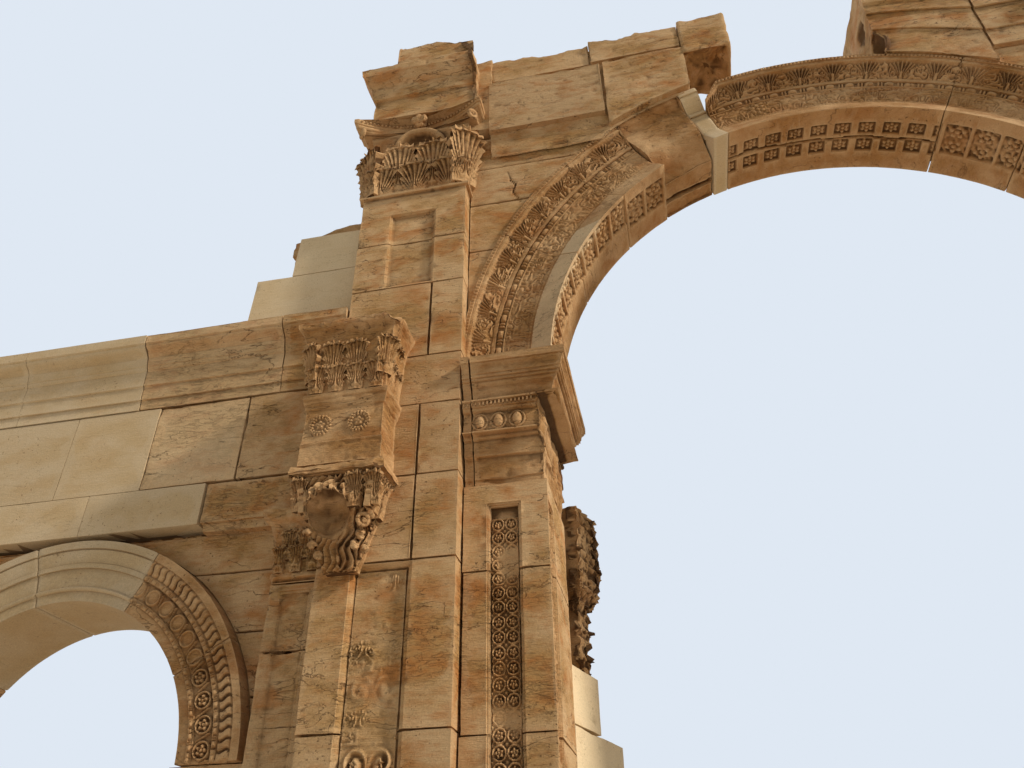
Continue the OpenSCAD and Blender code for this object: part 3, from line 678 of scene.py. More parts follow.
def ring_section(front, back_step, r0, r1, depth, cells):
    """A closed section (radius, y): the front by (share of the width, recess) corners from the outer edge
    inwards, then the underside, the back with one step, and the outer face. Returns it, and how many of its
    points belong to the front and to the underside."""
    face_cell, soffit_cell, back_cell = cells
    face = follow([(r0 + (r1 - r0) * f, y) for f, y in front], face_cell)
    step_y, step_r = depth - back_step, r0 + 0.8 * (r1 - r0)
    soffit = follow([(r0, front[-1][1]), (r0, step_y)], soffit_cell)
    back = follow([(r0, step_y), (step_r, step_y), (step_r + 0.03, depth), (r1, depth)], back_cell)
    outer = follow([(r1, depth), (r1, front[0][1])], back_cell)
    return np.concatenate([face[:-1], soffit[:-1], back[:-1], outer[:-1]]), len(face) - 1, len(soffit) - 1


def arch_stone(a0, a1, section, carve, cell, middle=(0.0, 0.0), edge=0.012, gap=0.003):
    """Loops of a stretch of an arch between two angles: a point at radius r lies at (r cos, y, r sin).
    carve(angle, radius, y) returns the moved radius and y. The last loops at both ends shrink a little, so
    that the joints show."""
    outer = section[:, 0].max()
    length = outer * (a1 - a0) - 2 * gap
    s = ticks(length, cell, 0.008)
    angle = (a0 + (gap + s) / outer)[:, None]
    radius, y = (np.broadcast_to(k, (len(s), len(section))).copy() for k in section.T)
    radius, y = carve(angle + 0 * radius, radius, y)
    inset = edge * unit(1 - np.minimum(s, length - s) / edge)[:, None] ** 2
    to_r, to_y = section[:, 0].mean() - radius, section[:, 1].mean() - y
    size = np.hypot(to_r, to_y)
    radius, y = radius + to_r / size * inset, y + to_y / size * inset
    return np.stack([middle[0] + radius * np.cos(angle), y, middle[1] + radius * np.sin(angle)], -1)


# %% [markdown]
# ## Carving of the ring's front
# Each band has its own height. The leaves of the deepest one run from both feet towards a flower near the
# top, where they meet.

# %% Bands of the ring's front
# Corners of the carved front: share of the width from the underside, and how far it lies back.
CARVED_FRONT = [(1.0, 0.004), (0.955, 0.0), (0.95, 0.016), (0.915, 0.02), (0.905, 0.034),
                (0.7, DIP - 0.015), (0.695, DIP - 0.022), (0.655, DIP - 0.022), (0.65, DIP + 0.005),
                (0.575, DIP + 0.005), (0.57, DIP - 0.01), (0.555, DIP - 0.01), (0.55, DIP),
                (0.29, DIP - 0.01), (0.285, DIP - 0.016), (0.255, DIP - 0.016), (0.25, DIP - 0.028),
                (0.0, LIP)]
LEAVES_MEET = radians(97)
RING_MIDDLE = RING_R + RING_W / 2


def in_band(f, low, high):
    """Share across a band, and whether a point lies in it."""
    return (f - low) / (high - low), (f > low) & (f < high)


def main_carving(angle, f, wear):
    """Height of the front's carving in metres, the bands one by one; wear from 0 to 1 flattens it."""
    u = angle * RING_MIDDLE
    height = np.zeros_like(f)
    v, inside = in_band(f, 0.955, 1.0)
    height += inside * (0.02 * teeth(angle * RING_OUT, v) - 0.012)
    v, inside = in_band(f, 0.705, 0.9)
    height += inside * (0.052 * fans(u, v) - 0.03) * unit(14 * v) * unit(14 * (1 - v))
    v, inside = in_band(f, 0.575, 0.65)
    height += inside * (0.046 * beads(u, v) - 0.006)
    v, inside = in_band(f, 0.29, 0.55)
    way = np.where(angle > LEAVES_MEET, 1, -1)
    flower = rosette((u - LEAVES_MEET * RING_MIDDLE) / 0.12, (v - 0.5) / 0.45, 6)
    height += inside * (0.026 * np.maximum(leaf_stream(u * way, v), flower) - 0.01)
    v, inside = in_band(f, 0.255, 0.285)
    height += inside * 0.014 * (arc(repeat(u, 0.05)) - 0.6)
    return height * (1 - wear)


print("corners of the carved front:", len(CARVED_FRONT))

# %% [markdown]
# ## Underside of the ring
# The crown stone has two rows of small coffers; the other old stones have one row of framed cells, filled
# with two flowers and curled leaves.

# %% Coffers and cells
def coffers(u, y, pitch, rows, depth):
    """Sunk cells with a flower: a smooth step at the edge of each cell, and the flower's height in it."""
    sunk = np.zeros_like(y)
    a = repeat(u, pitch) * 1.42
    for y0, y1 in rows:
        b = (2 * y - y0 - y1) / (y1 - y0)
        inside = unit((1 - np.maximum(np.abs(a), np.abs(b))) * 9)
        sunk += inside * depth * (1 - 0.75 * rosette(a / 0.9, b / 0.9, petals=6))
    return sunk


def cells_with_leaves(u, y, y0, y1, pitch=0.34, depth=0.045):
    """One row of framed cells: a raised fillet around each, and two flowers with curled leaves inside."""
    a = repeat(u, pitch)
    b = (2 * y - y0 - y1) / (y1 - y0)
    edge = 1 - np.maximum(np.abs(a) * 1.02, np.abs(b))
    inside = unit((edge - 0.1) * 14)
    frame = arc((edge - 0.04) / 0.05) * 0.012
    flower = np.maximum(rosette(a / 0.75, (b - 0.44) / 0.44), rosette(a / 0.75, (b + 0.44) / 0.44, turn=0.6))
    leaves = 0.6 * scroll_leaves(u, b, 3)
    return np.where(edge > -0.1, inside * depth * (1 - 0.8 * np.maximum(flower, leaves)) - frame, 0)


print("depth of a coffer:", coffers(0.15, np.array(0.37), 0.3, ((0.27, 0.47),), 1))

# %% [markdown]
# ## One stone of the main arch
# A cloud rubs a stone's carving away in places. The rough stone has lost its face, so its front is set back
# to a smooth, uneven surface; the crown stone is chipped where it meets the thin new one.

# %% One stone of the main arch
CHIP_FROM, CHIP_OVER, CHIP_R = radians(102.2), radians(3.8), RING_OUT - 0.45


def main_arch_stone(a0, a1, cells, style, front=CARVED_FRONT, worn_back=0.0, wear=0.15, cell=None):
    """One stone of the main arch. style names its underside: coffers, cells, rough or plain."""
    section, n_face, n_soffit = ring_section(front, 0.03, RING_R, RING_OUT, RING_D, cells)

    def carve(angle, radius, y):
        place = np.stack([radius * np.cos(angle), y, radius * np.sin(angle)], -1)
        face, soffit = np.s_[:, :n_face], np.s_[:, n_face:n_face + n_soffit]
        eroded = unit(2.2 * layers(place[face], 0.5, 9) - 1.15 + wear)
        f = (radius[face] - RING_R) / RING_W
        if style != "plain" and not worn_back:
            y[face] -= main_carving(angle[face], f, eroded)
            y[face] += 0.02 * eroded * layers(place[face], 0.06, 2) + 0.008 * layers(place[face], 0.03, 7)
            y[face] = np.maximum(y[face], 0)
        if worn_back:
            lost = unit((0.95 - f) * 9)
            smooth = 0.01 + 0.09 * layers(place[face], 0.4, 3) + 0.34 * unit(1 - f / 0.38) ** 1.2
            y[face] += lost * (smooth + worn_back - y[face])
            y[face] -= (f > 0.955) * 0.014 * teeth(angle[face] * RING_OUT, (f - 0.955) / 0.045)
            start, back = y[:, n_face - 1:n_face], y[soffit].max()
            y[soffit] = start + (y[soffit] - LIP) / (back - LIP) * (back - start)
        u, depth = angle[soffit] * RING_R, y[soffit]
        if style == "coffers":
            radius[soffit] += coffers(u, depth, 0.3, ((0.27, 0.47), (0.55, 0.75)), 0.042)
            wander = cloud(sheet(u, 0 * u), 0.6, 8) - 0.5
            crack = 0.51 + 0.1 * wander + 0.012 * np.sin(9 * u)
            radius[soffit] += 0.055 * arc((depth - crack) / 0.018)
            chipped = unit((angle - CHIP_FROM) / CHIP_OVER)
            radius -= (radius > CHIP_R) * chipped * (radius - RING_OUT + 0.45) * 0.72
        if style == "cells":
            start = 0.07 if a0 > radians(133) else 0.2
            radius[soffit] += cells_with_leaves(u, depth, start, start + 0.52)
        if style == "rough":
            radius[soffit] += 0.05 * layers(place[soffit], 0.3, 6) + 0.1 * (depth > 0.72) * (depth < 0.79)
        radius[soffit] = np.maximum(radius[soffit], RING_R)
        return radius, y

    return arch_stone(a0, a1, section, carve, cell or cells[0], (0.0, SPRING_Z))


print("chipped from", round(degrees(CHIP_FROM)), "degrees on")

# %% [markdown]
# ## Stones of the main arch
# The crown stone is long and crisp, the thin one beside it was sawn for the restoration, and the next one
# lost its face. The plain inner edge of the ring is painted light, most of all on the long slab of the
# left haunch. A thin stone is hidden behind each dry joint, or daylight would show through it.

# %% Stones of the main arch
# Distances between points on a stone's front, its underside and its back.
SEEN, SIDE = (0.0105, 0.018, 0.12), (0.018, 0.026, 0.12)
PLAIN_FRONT = [(1.0, 0.0), (0.93, 0.0), (0.925, 0.02), (0.88, 0.03), (0.7, DIP - 0.02), (0.695, DIP - 0.03),
               (0.65, DIP - 0.03), (0.645, DIP), (0.57, DIP), (0.56, DIP - 0.012), (0.28, DIP - 0.012),
               (0.275, DIP - 0.03), (0.25, DIP - 0.03), (0.0, LIP)]
SLAB_END = radians(152)


def painted_light_edge(tone):
    """A tone that paints light onto the plain inner edge of the ring's front, strongest on the long slab."""
    def at(points):
        y, z = points[:, 1] - FRONT, points[:, 2] - SPRING_Z
        share = (np.hypot(points[:, 0], z) - RING_R) / RING_W
        slab = (points[:, 0] < 0) & (z < RING_OUT * sin(SLAB_END))
        return tone + np.where((share < 0.245) & (y < 0.22), 0.05 + 0.11 * slab, 0)
    return at


def key(angle):
    """A thin stone hidden behind a joint of the ring, so that no light falls through the joint."""
    loops = main_arch_stone(angle - 0.008, angle + 0.008, (0.1, 0.2, 0.3), "plain", PLAIN_FRONT)
    z = loops[..., 2] - SPRING_Z
    radius = np.hypot(loops[..., 0], z)
    share = (RING_R + 0.1 + 0.85 * (radius - RING_R)) / radius
    y = 0.5 * RING_D + 0.8 * (loops[..., 1] - 0.5 * RING_D)
    return np.stack([loops[..., 0] * share, y, SPRING_Z + z * share], -1), -0.2


# Node, last word of the piece's name, finish, wear and stones.
ring_pieces = [
    ("crown", "carved", carved, (0.004, 0.004, 0.004),
     [(main_arch_stone(SHOULDER_R, NEW_R, SEEN, "coffers", wear=0.1), painted_light_edge(0.0)), key(SHOULDER_R)]),
    ("left_haunch", "carved", carved, (0.004, 0.004, 0.004),
     [(main_arch_stone(SHOULDER_L, SLAB_END, SEEN, "cells", wear=0.15), painted_light_edge(0.04)),
      (main_arch_stone(SLAB_END, pi, SEEN, "cells", wear=0.28), painted_light_edge(0.02)), key(SLAB_END),
      key(SHOULDER_L)]),
    ("left_shoulder", "carved", carved, (0.004, 0.004, 0.004),
     [(main_arch_stone(BROKEN_L, SHOULDER_L, SEEN, "cells", wear=0.25), painted_light_edge(0.03))]),
    ("broken_voussoir", "worn", carved, (0.03, 0.02, 0.01),
     [(main_arch_stone(NEW_L, BROKEN_L, SEEN, "rough", worn_back=0.06, cell=0.02), 0.0)]),
    ("new_voussoir", "sawn", sawn, (0.002, 0.001, 0),
     [(main_arch_stone(NEW_R, NEW_L, SIDE, "plain", PLAIN_FRONT), 0.0)]),
    ("right_shoulder", "carved", carved, (0.006, 0.005, 0.005),
     [(main_arch_stone(HAUNCH_R, SHOULDER_R, SEEN, "cells", wear=0.35), 0.0), key(HAUNCH_R)]),
    ("right_haunch", "carved", carved, (0.005, 0.005, 0.005),
     [(main_arch_stone(radians(a), radians(b), SIDE, "cells", wear=0.3), t)
      for a, b, t in ((0, 16, 0.03), (16, 31, -0.03), (31, 46, 0.0))])]
for node, word, finish, wear, parts in ring_pieces:
    make_piece(f"main_arch_{node}_{word}", parts, finish, [f"main_arch_{node}"], wear=wear)
report("main arch")

# %% [markdown]
# ## Piers and giant pilasters
# Each pier is a stack of long blocks that run through the whole wall. The joints lie where the photograph
# shows them, and the dark open joint beside the pilaster is a real gap. A sunk panel is cut into the
# faces of the blocks in small steps, which gives its frame of fillets.

# %% Blocks of a pier
JOINT = 0.002
BASE_TOP, PANEL_END = 0.85, 0.23
# Distance from the panel's edge, and depth there.
FRAME_STEPS = [(0, 0), (0.004, 0.014), (0.02, 0.014), (0.024, 0.03), (0.036, 0.03), (0.04, 0.095)]
VINE, REVEAL = (3.885, 4.235), (0.04, 0.36)
# Name, side, and how much coarser a side is made: the right one is only seen from far away.
SIDES = (("left", -1, 1.0), ("right", 1, 1.8))


def core(limits, inset=0.09):
    """A plain stone inside a wall, so that no light passes through its joints."""
    q0, q1, y0, y1, z0, z1 = limits
    plan = (q0 + inset, q1 - inset, y0 + inset, y1 - inset)
    return course(plan, [(0, z0 + 0.02), (0, z1 - 0.02)], (9,) * 4, (0, 0, 0, 0)), 0.0


def pier_stones(grain):
    """The pier's blocks, with a sunk panel on the front and one in the passage."""
    joints = (PLINTH_TOP, 1.62, 3.05, 4.55, IMPOST_Z)
    panel_z = BASE_TOP + PANEL_END, IMPOST_Z - PANEL_END
    extra = (edge_ticks(*VINE, FRAME_STEPS) - PIER_IN, (), (), PIER_BACK - edge_ticks(*REVEAL, FRAME_STEPS))
    for k, (z0, z1) in enumerate(zip(joints, joints[1:])):
        open_joint = 0.018 if k == 2 else 0.002
        stone = block((PIER_IN, GIANT_IN - open_joint, 0, PIER_BACK, z0 + JOINT, z1 - JOINT),
                      (FINE * grain, HIDDEN, COARSE, MEDIUM * grain), seed=k, extra=extra,
                      extra_z=edge_ticks(*panel_z, FRAME_STEPS))
        stone = sink(stone, 1, 0, 1, (*VINE, *panel_z), FRAME_STEPS)
        yield sink(stone, 0, PIER_IN, 1, (*REVEAL, *panel_z), FRAME_STEPS), (0.02, -0.04, 0.0, 0.03)[k]


print("steps of a frame:", len(FRAME_STEPS))

# %% [markdown]
# ## Carved panels
# A carved panel is a thin plate in the sunk window, whose front rises by the height of a pattern.

# %% Vine panels of the piers
def relief_plate(limits, cell, height, depth):
    """A thin plate whose front rises by depth times a height, worked out from the place across and up."""
    q0, q1, y0, y1, z0, z1 = limits
    z = np.linspace(z0, z1, round((z1 - z0) / cell) + 1)
    loops = course((q0, q1, y0, y1), np.stack([0 * z, z], 1), (cell, HIDDEN, HIDDEN, HIDDEN))
    face = loops[..., 1] < y0 + 1e-6
    loops[..., 1] -= np.where(face, depth * height(loops[..., 0] - q0, loops[..., 2] - z0), 0)
    return loops


def vine(u, v, width=0.27):
    """Two columns of flowers with five petals, each in a ring of stem that touches the next; the ground
    between them is drilled deep. A cloud wears some of them flat."""
    a, b = repeat(u, width / 2), repeat(v, 0.1425)
    reach, angle = np.hypot(a, b), np.arctan2(a, b)
    stem = arc((reach - 0.86 - 0.03 * np.cos(11 * angle)) / 0.15)
    flower = rosette(a / 0.68, b / 0.68, petals=5, turn=2.4 * np.floor(v / 0.1425) + 1.1 * (u > width / 2))
    knot = 0.7 * arc(np.hypot(np.abs(a) - 1, np.abs(b) - 1) / 0.24)
    kept = np.clip(5 * layers(sheet(u, v), 0.3, 13) - 1.4, 0.15, 1)
    return np.maximum.reduce([flower, 0.9 * stem, knot]) * kept


def foliage(u, v):
    """A narrow band of curled leaves: two crossing waves, with a drilled ground."""
    return scroll_leaves(v, u / 0.2, 11)


for word, side, grain in SIDES:
    parts = list(pier_stones(grain)) + [core((PIER_IN, GIANT_IN, 0.1, PIER_BACK, PLINTH_TOP, IMPOST_Z))]
    z0, z1 = BASE_TOP + PANEL_END + 0.04, IMPOST_Z - PANEL_END - 0.04
    front_plate = relief_plate((VINE[0] + 0.04, VINE[1] - 0.04, 0.06, 0.1, z0, z1 - 0.13),
                               0.009 if side < 0 else 0.016, vine, 0.04)
    reveal_plate = relief_plate((REVEAL[0] + 0.04, REVEAL[1] - 0.04, 0.06, 0.1, z0, z1), 0.014 * grain,
                                foliage, 0.04)
    make_piece(f"{word}_arch_pier_stones", parts, ashlar, [f"{word}_arch_pier"], side)
    reveal_plate = reveal_plate[..., [1, 0, 2]] + (PIER_IN, 0, 0)
    make_piece(f"{word}_pier_vine_panels", [(front_plate, 0.05), (reveal_plate, 0.0)], carved,
               [f"{word}_arch_pier"], side, wear=(0.004, 0.003, 0.008))
report("piers")

# %% [markdown]
# ## Giant pilasters
# Beside each pier a broader pilaster stands forward and runs up past the arch. Some of its courses are two
# stones with an open joint. It has a plain sunk panel above, and a long one below, whose palmettes and
# scrolls the rain has nearly taken away.

# %% Courses of a giant pilaster
GIANT_SPLIT, GIANT_FACE = 4.96, GIANT_Y + 0.1
UPPER_WINDOW = (4.9, 5.53, 8.29, 9.58)
LOWER_WINDOW = (4.945, 5.575, 1.08, 4.64)
UPPER_STEPS = [(0, 0), (0.012, 0.012), (0.03, 0.02), (0.036, 0.032), (0.06, 0.045)]
LOWER_STEPS = [(0, 0), (0.01, 0.012), (0.024, 0.017), (0.034, 0.026), (0.046, 0.034), (0.056, 0.06)]
BASE_SHAPE = [(1, 0), (1, 0.42), (0.72, 0.45), (0.5, 0.56), (0.6, 0.66), (0.7, 0.72), (0.6, 0.86),
              (0.02, 0.92),
              (0.0, 1)]


def giant_stones(grain):
    """Courses of the giant pilaster. Some courses are two stones side by side, with an open joint."""
    rows = ((PLINTH_TOP, 1.6, 0), (1.6, 3.09, 0), (3.09, 4.66, 0), (4.66, 5.6, 1), (5.6, 6.48, 1),
            (6.48, 7.15, 0), (7.15, 8.27, 1), (8.27, 9.05, 0), (9.05, CAPITAL_Z, 0))
    tones = (0.0, -0.05, 0.03, -0.03, -0.06, 0.0, 0.04, 0.02, 0.05)
    for k, (z0, z1, split) in enumerate(rows):
        middle = GIANT_SPLIT if k < 5 else GIANT_SPLIT - 0.06
        places = (GIANT_IN, middle, GIANT_OUT) if split else (GIANT_IN, GIANT_OUT)
        for n, (q0, q1) in enumerate(zip(places, places[1:])):
            window, steps = (UPPER_WINDOW, UPPER_STEPS) if k > 6 else (LOWER_WINDOW, LOWER_STEPS)
            gap = 0.006 * split
            limits = (q0 + gap * n, q1 - gap * (1 - n), GIANT_FACE, PIER_BACK, z0 + JOINT, z1 - JOINT)
            stone = block(limits, (FINE * grain, MEDIUM * grain, COARSE, MEDIUM * grain), seed=20 + 3 * k + n,
                          chips=8, extra=(edge_ticks(*window[:2], steps) - limits[0], (), (), ()),
                          extra_z=edge_ticks(*window[2:], steps))
            yield sink(stone, 1, GIANT_FACE, 1, window, steps), tones[k] + 0.02 * n


print("lower panel from", LOWER_WINDOW[2], "to", LOWER_WINDOW[3], "m")

# %% Scrolls, foot and neck of the giant pilasters
def scrolls(u, v, width=0.5, turn=0.62):
    """Palmettes and scrolls in turn, mostly worn away: a spiral is a ridge by the cosine of the angle minus
    the distance. A cloud fades them out towards the top, where the rain has taken most of the carving."""
    up = v % turn
    palm = fans(u + 0.02, up / 0.3, pitch=0.26, width=0.3, seed=4) * (up < 0.3)
    a, b = (np.abs(u - width / 2) - 0.12) / 0.13, (up - 0.46) / 0.15
    reach, angle = np.hypot(a, b), np.arctan2(b, a)
    spiral = (0.5 + 0.5 * np.cos(angle - 10 * reach)) * unit(4 - 4 * reach)
    flower = rosette(a / 0.35, b / 0.35)
    place = sheet(u, v)
    kept = unit(4.0 * layers(place, 0.4, 14) - 1.0 - 0.14 * v + 0.5 * (0.5 - u / width))
    return np.maximum.reduce([spiral, palm, flower]) * kept + 0.2 * cloud(place, 0.03, 2) * kept


for word, side, grain in SIDES:
    rear = span(f"{word}_giant_pilaster")[3]
    strip_z = span("rear_capitals")[5]
    parts = list(giant_stones(grain))
    parts.append(core((GIANT_IN, GIANT_OUT, GIANT_FACE, PIER_BACK, PLINTH_TOP, CAPITAL_Z)))
    for k, (z0, z1) in enumerate(((strip_z, 7.3), (7.3, 8.7), (8.7, CAPITAL_Z))):
        parts.append((block((GIANT_IN, GIANT_OUT, PIER_BACK - 0.02, rear, z0 + JOINT, z1 - JOINT),
                            (HIDDEN, 0.1, 0.1, 0.1), seed=60 + k), 0.03 * k - 0.03))
    plan = (GIANT_IN, GIANT_OUT, GIANT_FACE, 0.1)
    base = follow(placed(BASE_SHAPE, PLINTH_TOP, 0.4, 0.1), 0.03 * grain)
    parts.append((course(plan, base, (MEDIUM, HIDDEN, HIDDEN, HIDDEN), (1, 0, 0, 0)), 0))
    ring = follow([(0, CAPITAL_Z - 0.11), (0.004, CAPITAL_Z - 0.07), (0.045, CAPITAL_Z - 0.055),
                   (0.05, CAPITAL_Z - 0.02), (0.02, CAPITAL_Z)], 0.02 * grain)
    parts.append((course(plan, ring, (FINE, FINE, HIDDEN, FINE), (1, 1, 0, 1)), 0.02))
    make_piece(f"{word}_giant_pilaster_stones", parts, ashlar, [f"{word}_giant_pilaster"], side,
               wear=(0.01, 0.016, 0.008))
    q0, q1, z0, z1 = LOWER_WINDOW
    panel = relief_plate((q0 + 0.056, q1 - 0.056, GIANT_FACE + 0.052, 0, z0 + 0.056, z1 - 0.056),
                         0.014 * grain,
                         scrolls, 0.05)
    make_piece(f"{word}_pilaster_scrolls", [(panel, 0.03)], ashlar, [f"{word}_giant_pilaster"], side,
               wear=(0.01, 0.012, 0.01))
report("pilasters")

# %% [markdown]
# ## Impost
# The arch stands on a tall impost: a worn capital-like block, a band of eggs, a row of small dentils, a
# hollow bell and a stepped cornice. Its profile is carried around the pier's three open sides. The eggs
# are half-buried pebbles set in rings, and the corner of the egg band has broken off.

# %% Pebbles and rings
def pebble(middle, radii, around=16, up=9):
    """Loops of an ellipsoid: circles whose radius is the sine of the angle from its top."""
    turn = np.linspace(0, 2 * pi, around, endpoint=False)
    rise = np.linspace(0.12, pi - 0.12, up)[:, None]
    shape = np.stack([np.sin(rise) * np.cos(turn), np.sin(rise) * np.sin(turn), -np.cos(rise) + 0 * turn], -1)
    return np.asarray(middle) + shape * radii


def ring_bead(middle, radius, thick, around=28):
    """Loops of an upright ring in the plane of the wall: a small circle carried around a large one."""
    turn = np.linspace(0, 2 * pi, around)[:, None]
    small = np.linspace(0, 2 * pi, 7, endpoint=False)
    out = radius + thick * np.cos(small)
    return np.stack([middle[0] + out * np.cos(turn), middle[1] + thick * np.sin(small) + 0 * turn,
                     middle[2] + 1.15 * out * np.sin(turn)], -1)


print("loops and points of a pebble:", pebble((0, 0, 0), 1).shape[:2])

# %% The imposts
IMPOST_PROFILE = [(0.0, 5.5), (0.0, 5.56), (0.015, 5.57), (0.02, 5.8), (0.05, 5.82), (0.05, 5.99),
                  (0.08, 6.005), (0.085, 6.03), (0.15, 6.05), (0.15, 6.07), (0.105, 6.085), (0.105, 6.3),
                  (0.15, 6.325),
                  (0.155, 6.35), (0.175, 6.355), (0.175, 6.41), (0.2, 6.42), (0.2, 6.45), (0.12, 6.47),
                  (0.125, 6.53), (0.155, 6.61), (0.185, 6.64), (0.19, 6.67), (0.215, 6.675), (0.215, 6.705),
                  (0.235, 6.71), (0.235, 6.745), (0.245, 6.75), (0.255, 6.81), (0.285, 6.855), (0.285, 6.87),
                  (0.3, 6.875), (0.3, SPRING_Z)]

for word, side, grain in SIDES:
    stones = []
    profile = follow(IMPOST_PROFILE, 0.018 * grain)
    for q0, q1, near in ((PIER_IN, 4.38, 1), (4.38 + 2 * JOINT, GIANT_IN - 0.01, 0)):
        stone = course((q0, q1, 0, PIER_BACK), profile, (0.02 * grain, HIDDEN, 0.1, 0.035 * grain),
                       (1, 0, 1, near))
        lost = unit((6.02 - stone[..., 2]) * 3) * (0.02 + 0.1 * layers(stone, 0.25, 21) ** 2)
        stone[..., 1] += np.where(stone[..., 1] < 0.1, lost, 0)
        stone[..., 0] += np.where((stone[..., 0] < PIER_IN + 0.03) & (near > 0), lost, 0)
        if side < 0 and near:
            torn_to = PIER_IN - 0.04 + 0.12 * layers(stone, 0.22, 23)
            torn_to = torn_to + 0.5 * np.clip(stone[..., 2] - 6.4, 0, 0.05)
            stone[..., 0] = np.where(stone[..., 2] < 6.45, np.maximum(stone[..., 0], torn_to), stone[..., 0])
            stone = bite(stone, (PIER_IN - 0.16, -0.2, 6.24), 0.24, 3)
        stones.append((stone, 0.0))
    for k in range(3 if side < 0 else 4):
        q = 4.29 - 0.205 * k
        stones.append((pebble((q, -0.115, 6.19), (0.056, 0.05, 0.088)), 0.06))
        stones.append((ring_bead((q, -0.112, 6.19), 0.083, 0.016), 0.0))
    dentils = [(3.52 + 0.044 * k, 3.548 + 0.044 * k, -0.197, -0.12) for k in range(4 if side < 0 else 0, 22)]
    dentils += [(PIER_IN - 0.197, PIER_IN - 0.12, 0.02 + 0.048 * k, 0.05 + 0.048 * k)
                for k in range(26 if side > 0 else 0)]
    stones += [(block((*plan, 6.36, 6.415), (0.1,) * 4, edge=0.004), 0.0) for plan in dentils]
    make_piece(f"{word}_impost_mouldings", stones, carved, [f"{word}_impost"], side, wear=(0.01, 0.01, 0.006))
report("imposts")

# %% [markdown]
# ## Leaves
# A capital's leaf is a strip that climbs the bell and rolls over at its tip. Its path turns by an angle that
# grows with the cube of the way along it. Ridges are rays from a point below the foot, and the edge is cut
# into a finger at the end of each ray.

# %% A carved leaf
# Places along a leaf, and its share of the full width there.
LEAF_WAY = np.array([0, 0.2, 0.5, 0.7, 0.85, 0.95, 1])
LEAF_WIDTH = np.array([0.6, 0.7, 0.9, 1.0, 0.95, 0.76, 0.48])


def leaf(foot, outward, width, height, reach, curl=2.3, ribs=2.6, thick=0.06, depth=0.024, size=(24, 21)):
    """Loops of a leaf: one loop for each place s along it, over the front by t from -1 to 1 and back again.
    outward is the direction in plan that it faces, in degrees from the front towards the outer side."""
    s = np.linspace(0, 1, size[0])[:, None]
    t = np.concatenate([np.linspace(-1, 1, size[1]), np.linspace(1, -1, size[1])])[None]
    front = (np.arange(2 * size[1]) < size[1])[None]
    turn = curl * s**3
    out, up = np.cumsum(np.sin(turn), 0), np.cumsum(np.cos(turn), 0)
    out, up = reach * (out - out[0]) / np.ptp(out), height * (up - up[0]) / np.ptp(up)
    half = width / 2 * np.interp(s, LEAF_WAY, LEAF_WIDTH)
    ray = np.arctan2(t * half, height * (s + 0.12) ** 1.3) / np.arctan2(width / 2, 0.9 * height)
    ridge = 0.5 + 0.5 * np.cos(2 * pi * ribs * ray)
    x = t * half * (1 - 0.34 * t**2 * (1 - ridge) * unit(3 * s))
    way = s * (1 - 0.15 * (1 - ridge) * unit(4 * s - 3))
    out, up, turn = (np.interp(way, s[:, 0], k[:, 0]) for k in (out, up, turn))
    rise = front * depth * ridge * np.clip(6 * s, 0.3, 1)
    rise = rise + (front - 1.0) * thick * (1.1 - 0.6 * s)
    rise = rise + 0.22 * half * t**2 * (0.3 + 0.7 * s) - 0.25 * half * t**2 * (1 - s)
    out = out + rise * np.cos(turn)
    z = foot[2] + up - rise * np.sin(turn)
    facing = radians(outward)
    q = foot[0] + x * cos(facing) + out * sin(facing)
    y = foot[1] + x * sin(facing) - out * cos(facing)
    return np.stack([q, y, z], -1)


def torn(loops, seed, depth=0.05, from_share=0.55):
    """Breaks the tip of a leaf: the outer part of it is pulled back by a cloud."""
    share = unit((np.linspace(0, 1, len(loops))[:, None] - from_share) / (1 - from_share))
    pull = share * layers(loops, 0.1, seed)
    loops[..., 1] += depth * pull * 0.6
    loops[..., 2] -= depth * pull
    return loops


def curls(u, v, pitch=0.13, turns=1.7):
    """Drilled curls side by side: a spiral in each cell of a brick pattern, with a deep ground between."""
    row = np.floor(v / pitch)
    a, b = repeat(u + 0.5 * pitch * (row % 2), pitch), repeat(v, pitch)
    reach, angle = np.hypot(a, b), np.arctan2(b, a)
    spiral = 0.5 + 0.5 * np.cos(angle * np.where(row % 2 > 0, 1, -1) + 2 * pi * turns * reach)
    return unit(1.2 - reach) ** 0.5 * (0.25 + 0.75 * spiral)


print("loops and points of a leaf:", leaf((0, 0, 0), 0, 0.5, 0.5, 0.1).shape[:2])

# %% [markdown]
# ## Giant capitals
# A Corinthian capital: a bell, three low leaves, four tall ones of which two wrap the corners with a small
# scroll above each, and a thin abacus whose sides are hollow in plan, with a row of beads along its edge.
# The abacus has lost its outer tip, and the flower at its middle is a stump.

# %% Bell and abacus
ABACUS_Z, CAPITAL_TOP = CAPITAL_Z + 1.35, span("left_giant_capital")[5]
BELL = [(0.1, 0), (0.02, 0.02), (0.0, 0.5), (0.01, 0.7), (0.02, 0.84), (0.05, 0.93), (0.06, 0.955),
        (0.06, 0.985), (0.04, 1)]
ABACUS = [(-0.105, 0), (-0.1, 0.05), (-0.075, 0.16), (-0.05, 0.22), (-0.05, 0.27), (-0.03, 0.29),
          (-0.012, 0.4), (-0.01, 0.5), (-0.03, 0.53), (-0.012, 0.56), (0, 0.6), (0, 0.96), (-0.02, 1)]


def hollow_sides(loops, middle, half, front, sag):
    """Bends the front edge of the abacus: pushed in by sag * (1 - (distance from the middle / half)^2)."""
    share = unit(1 - ((loops[..., 0] - middle) / half) ** 2)
    near = unit(1 - np.abs(loops[..., 1] - front) / 0.25)
    loops[..., 1] += sag * share * near
    return loops


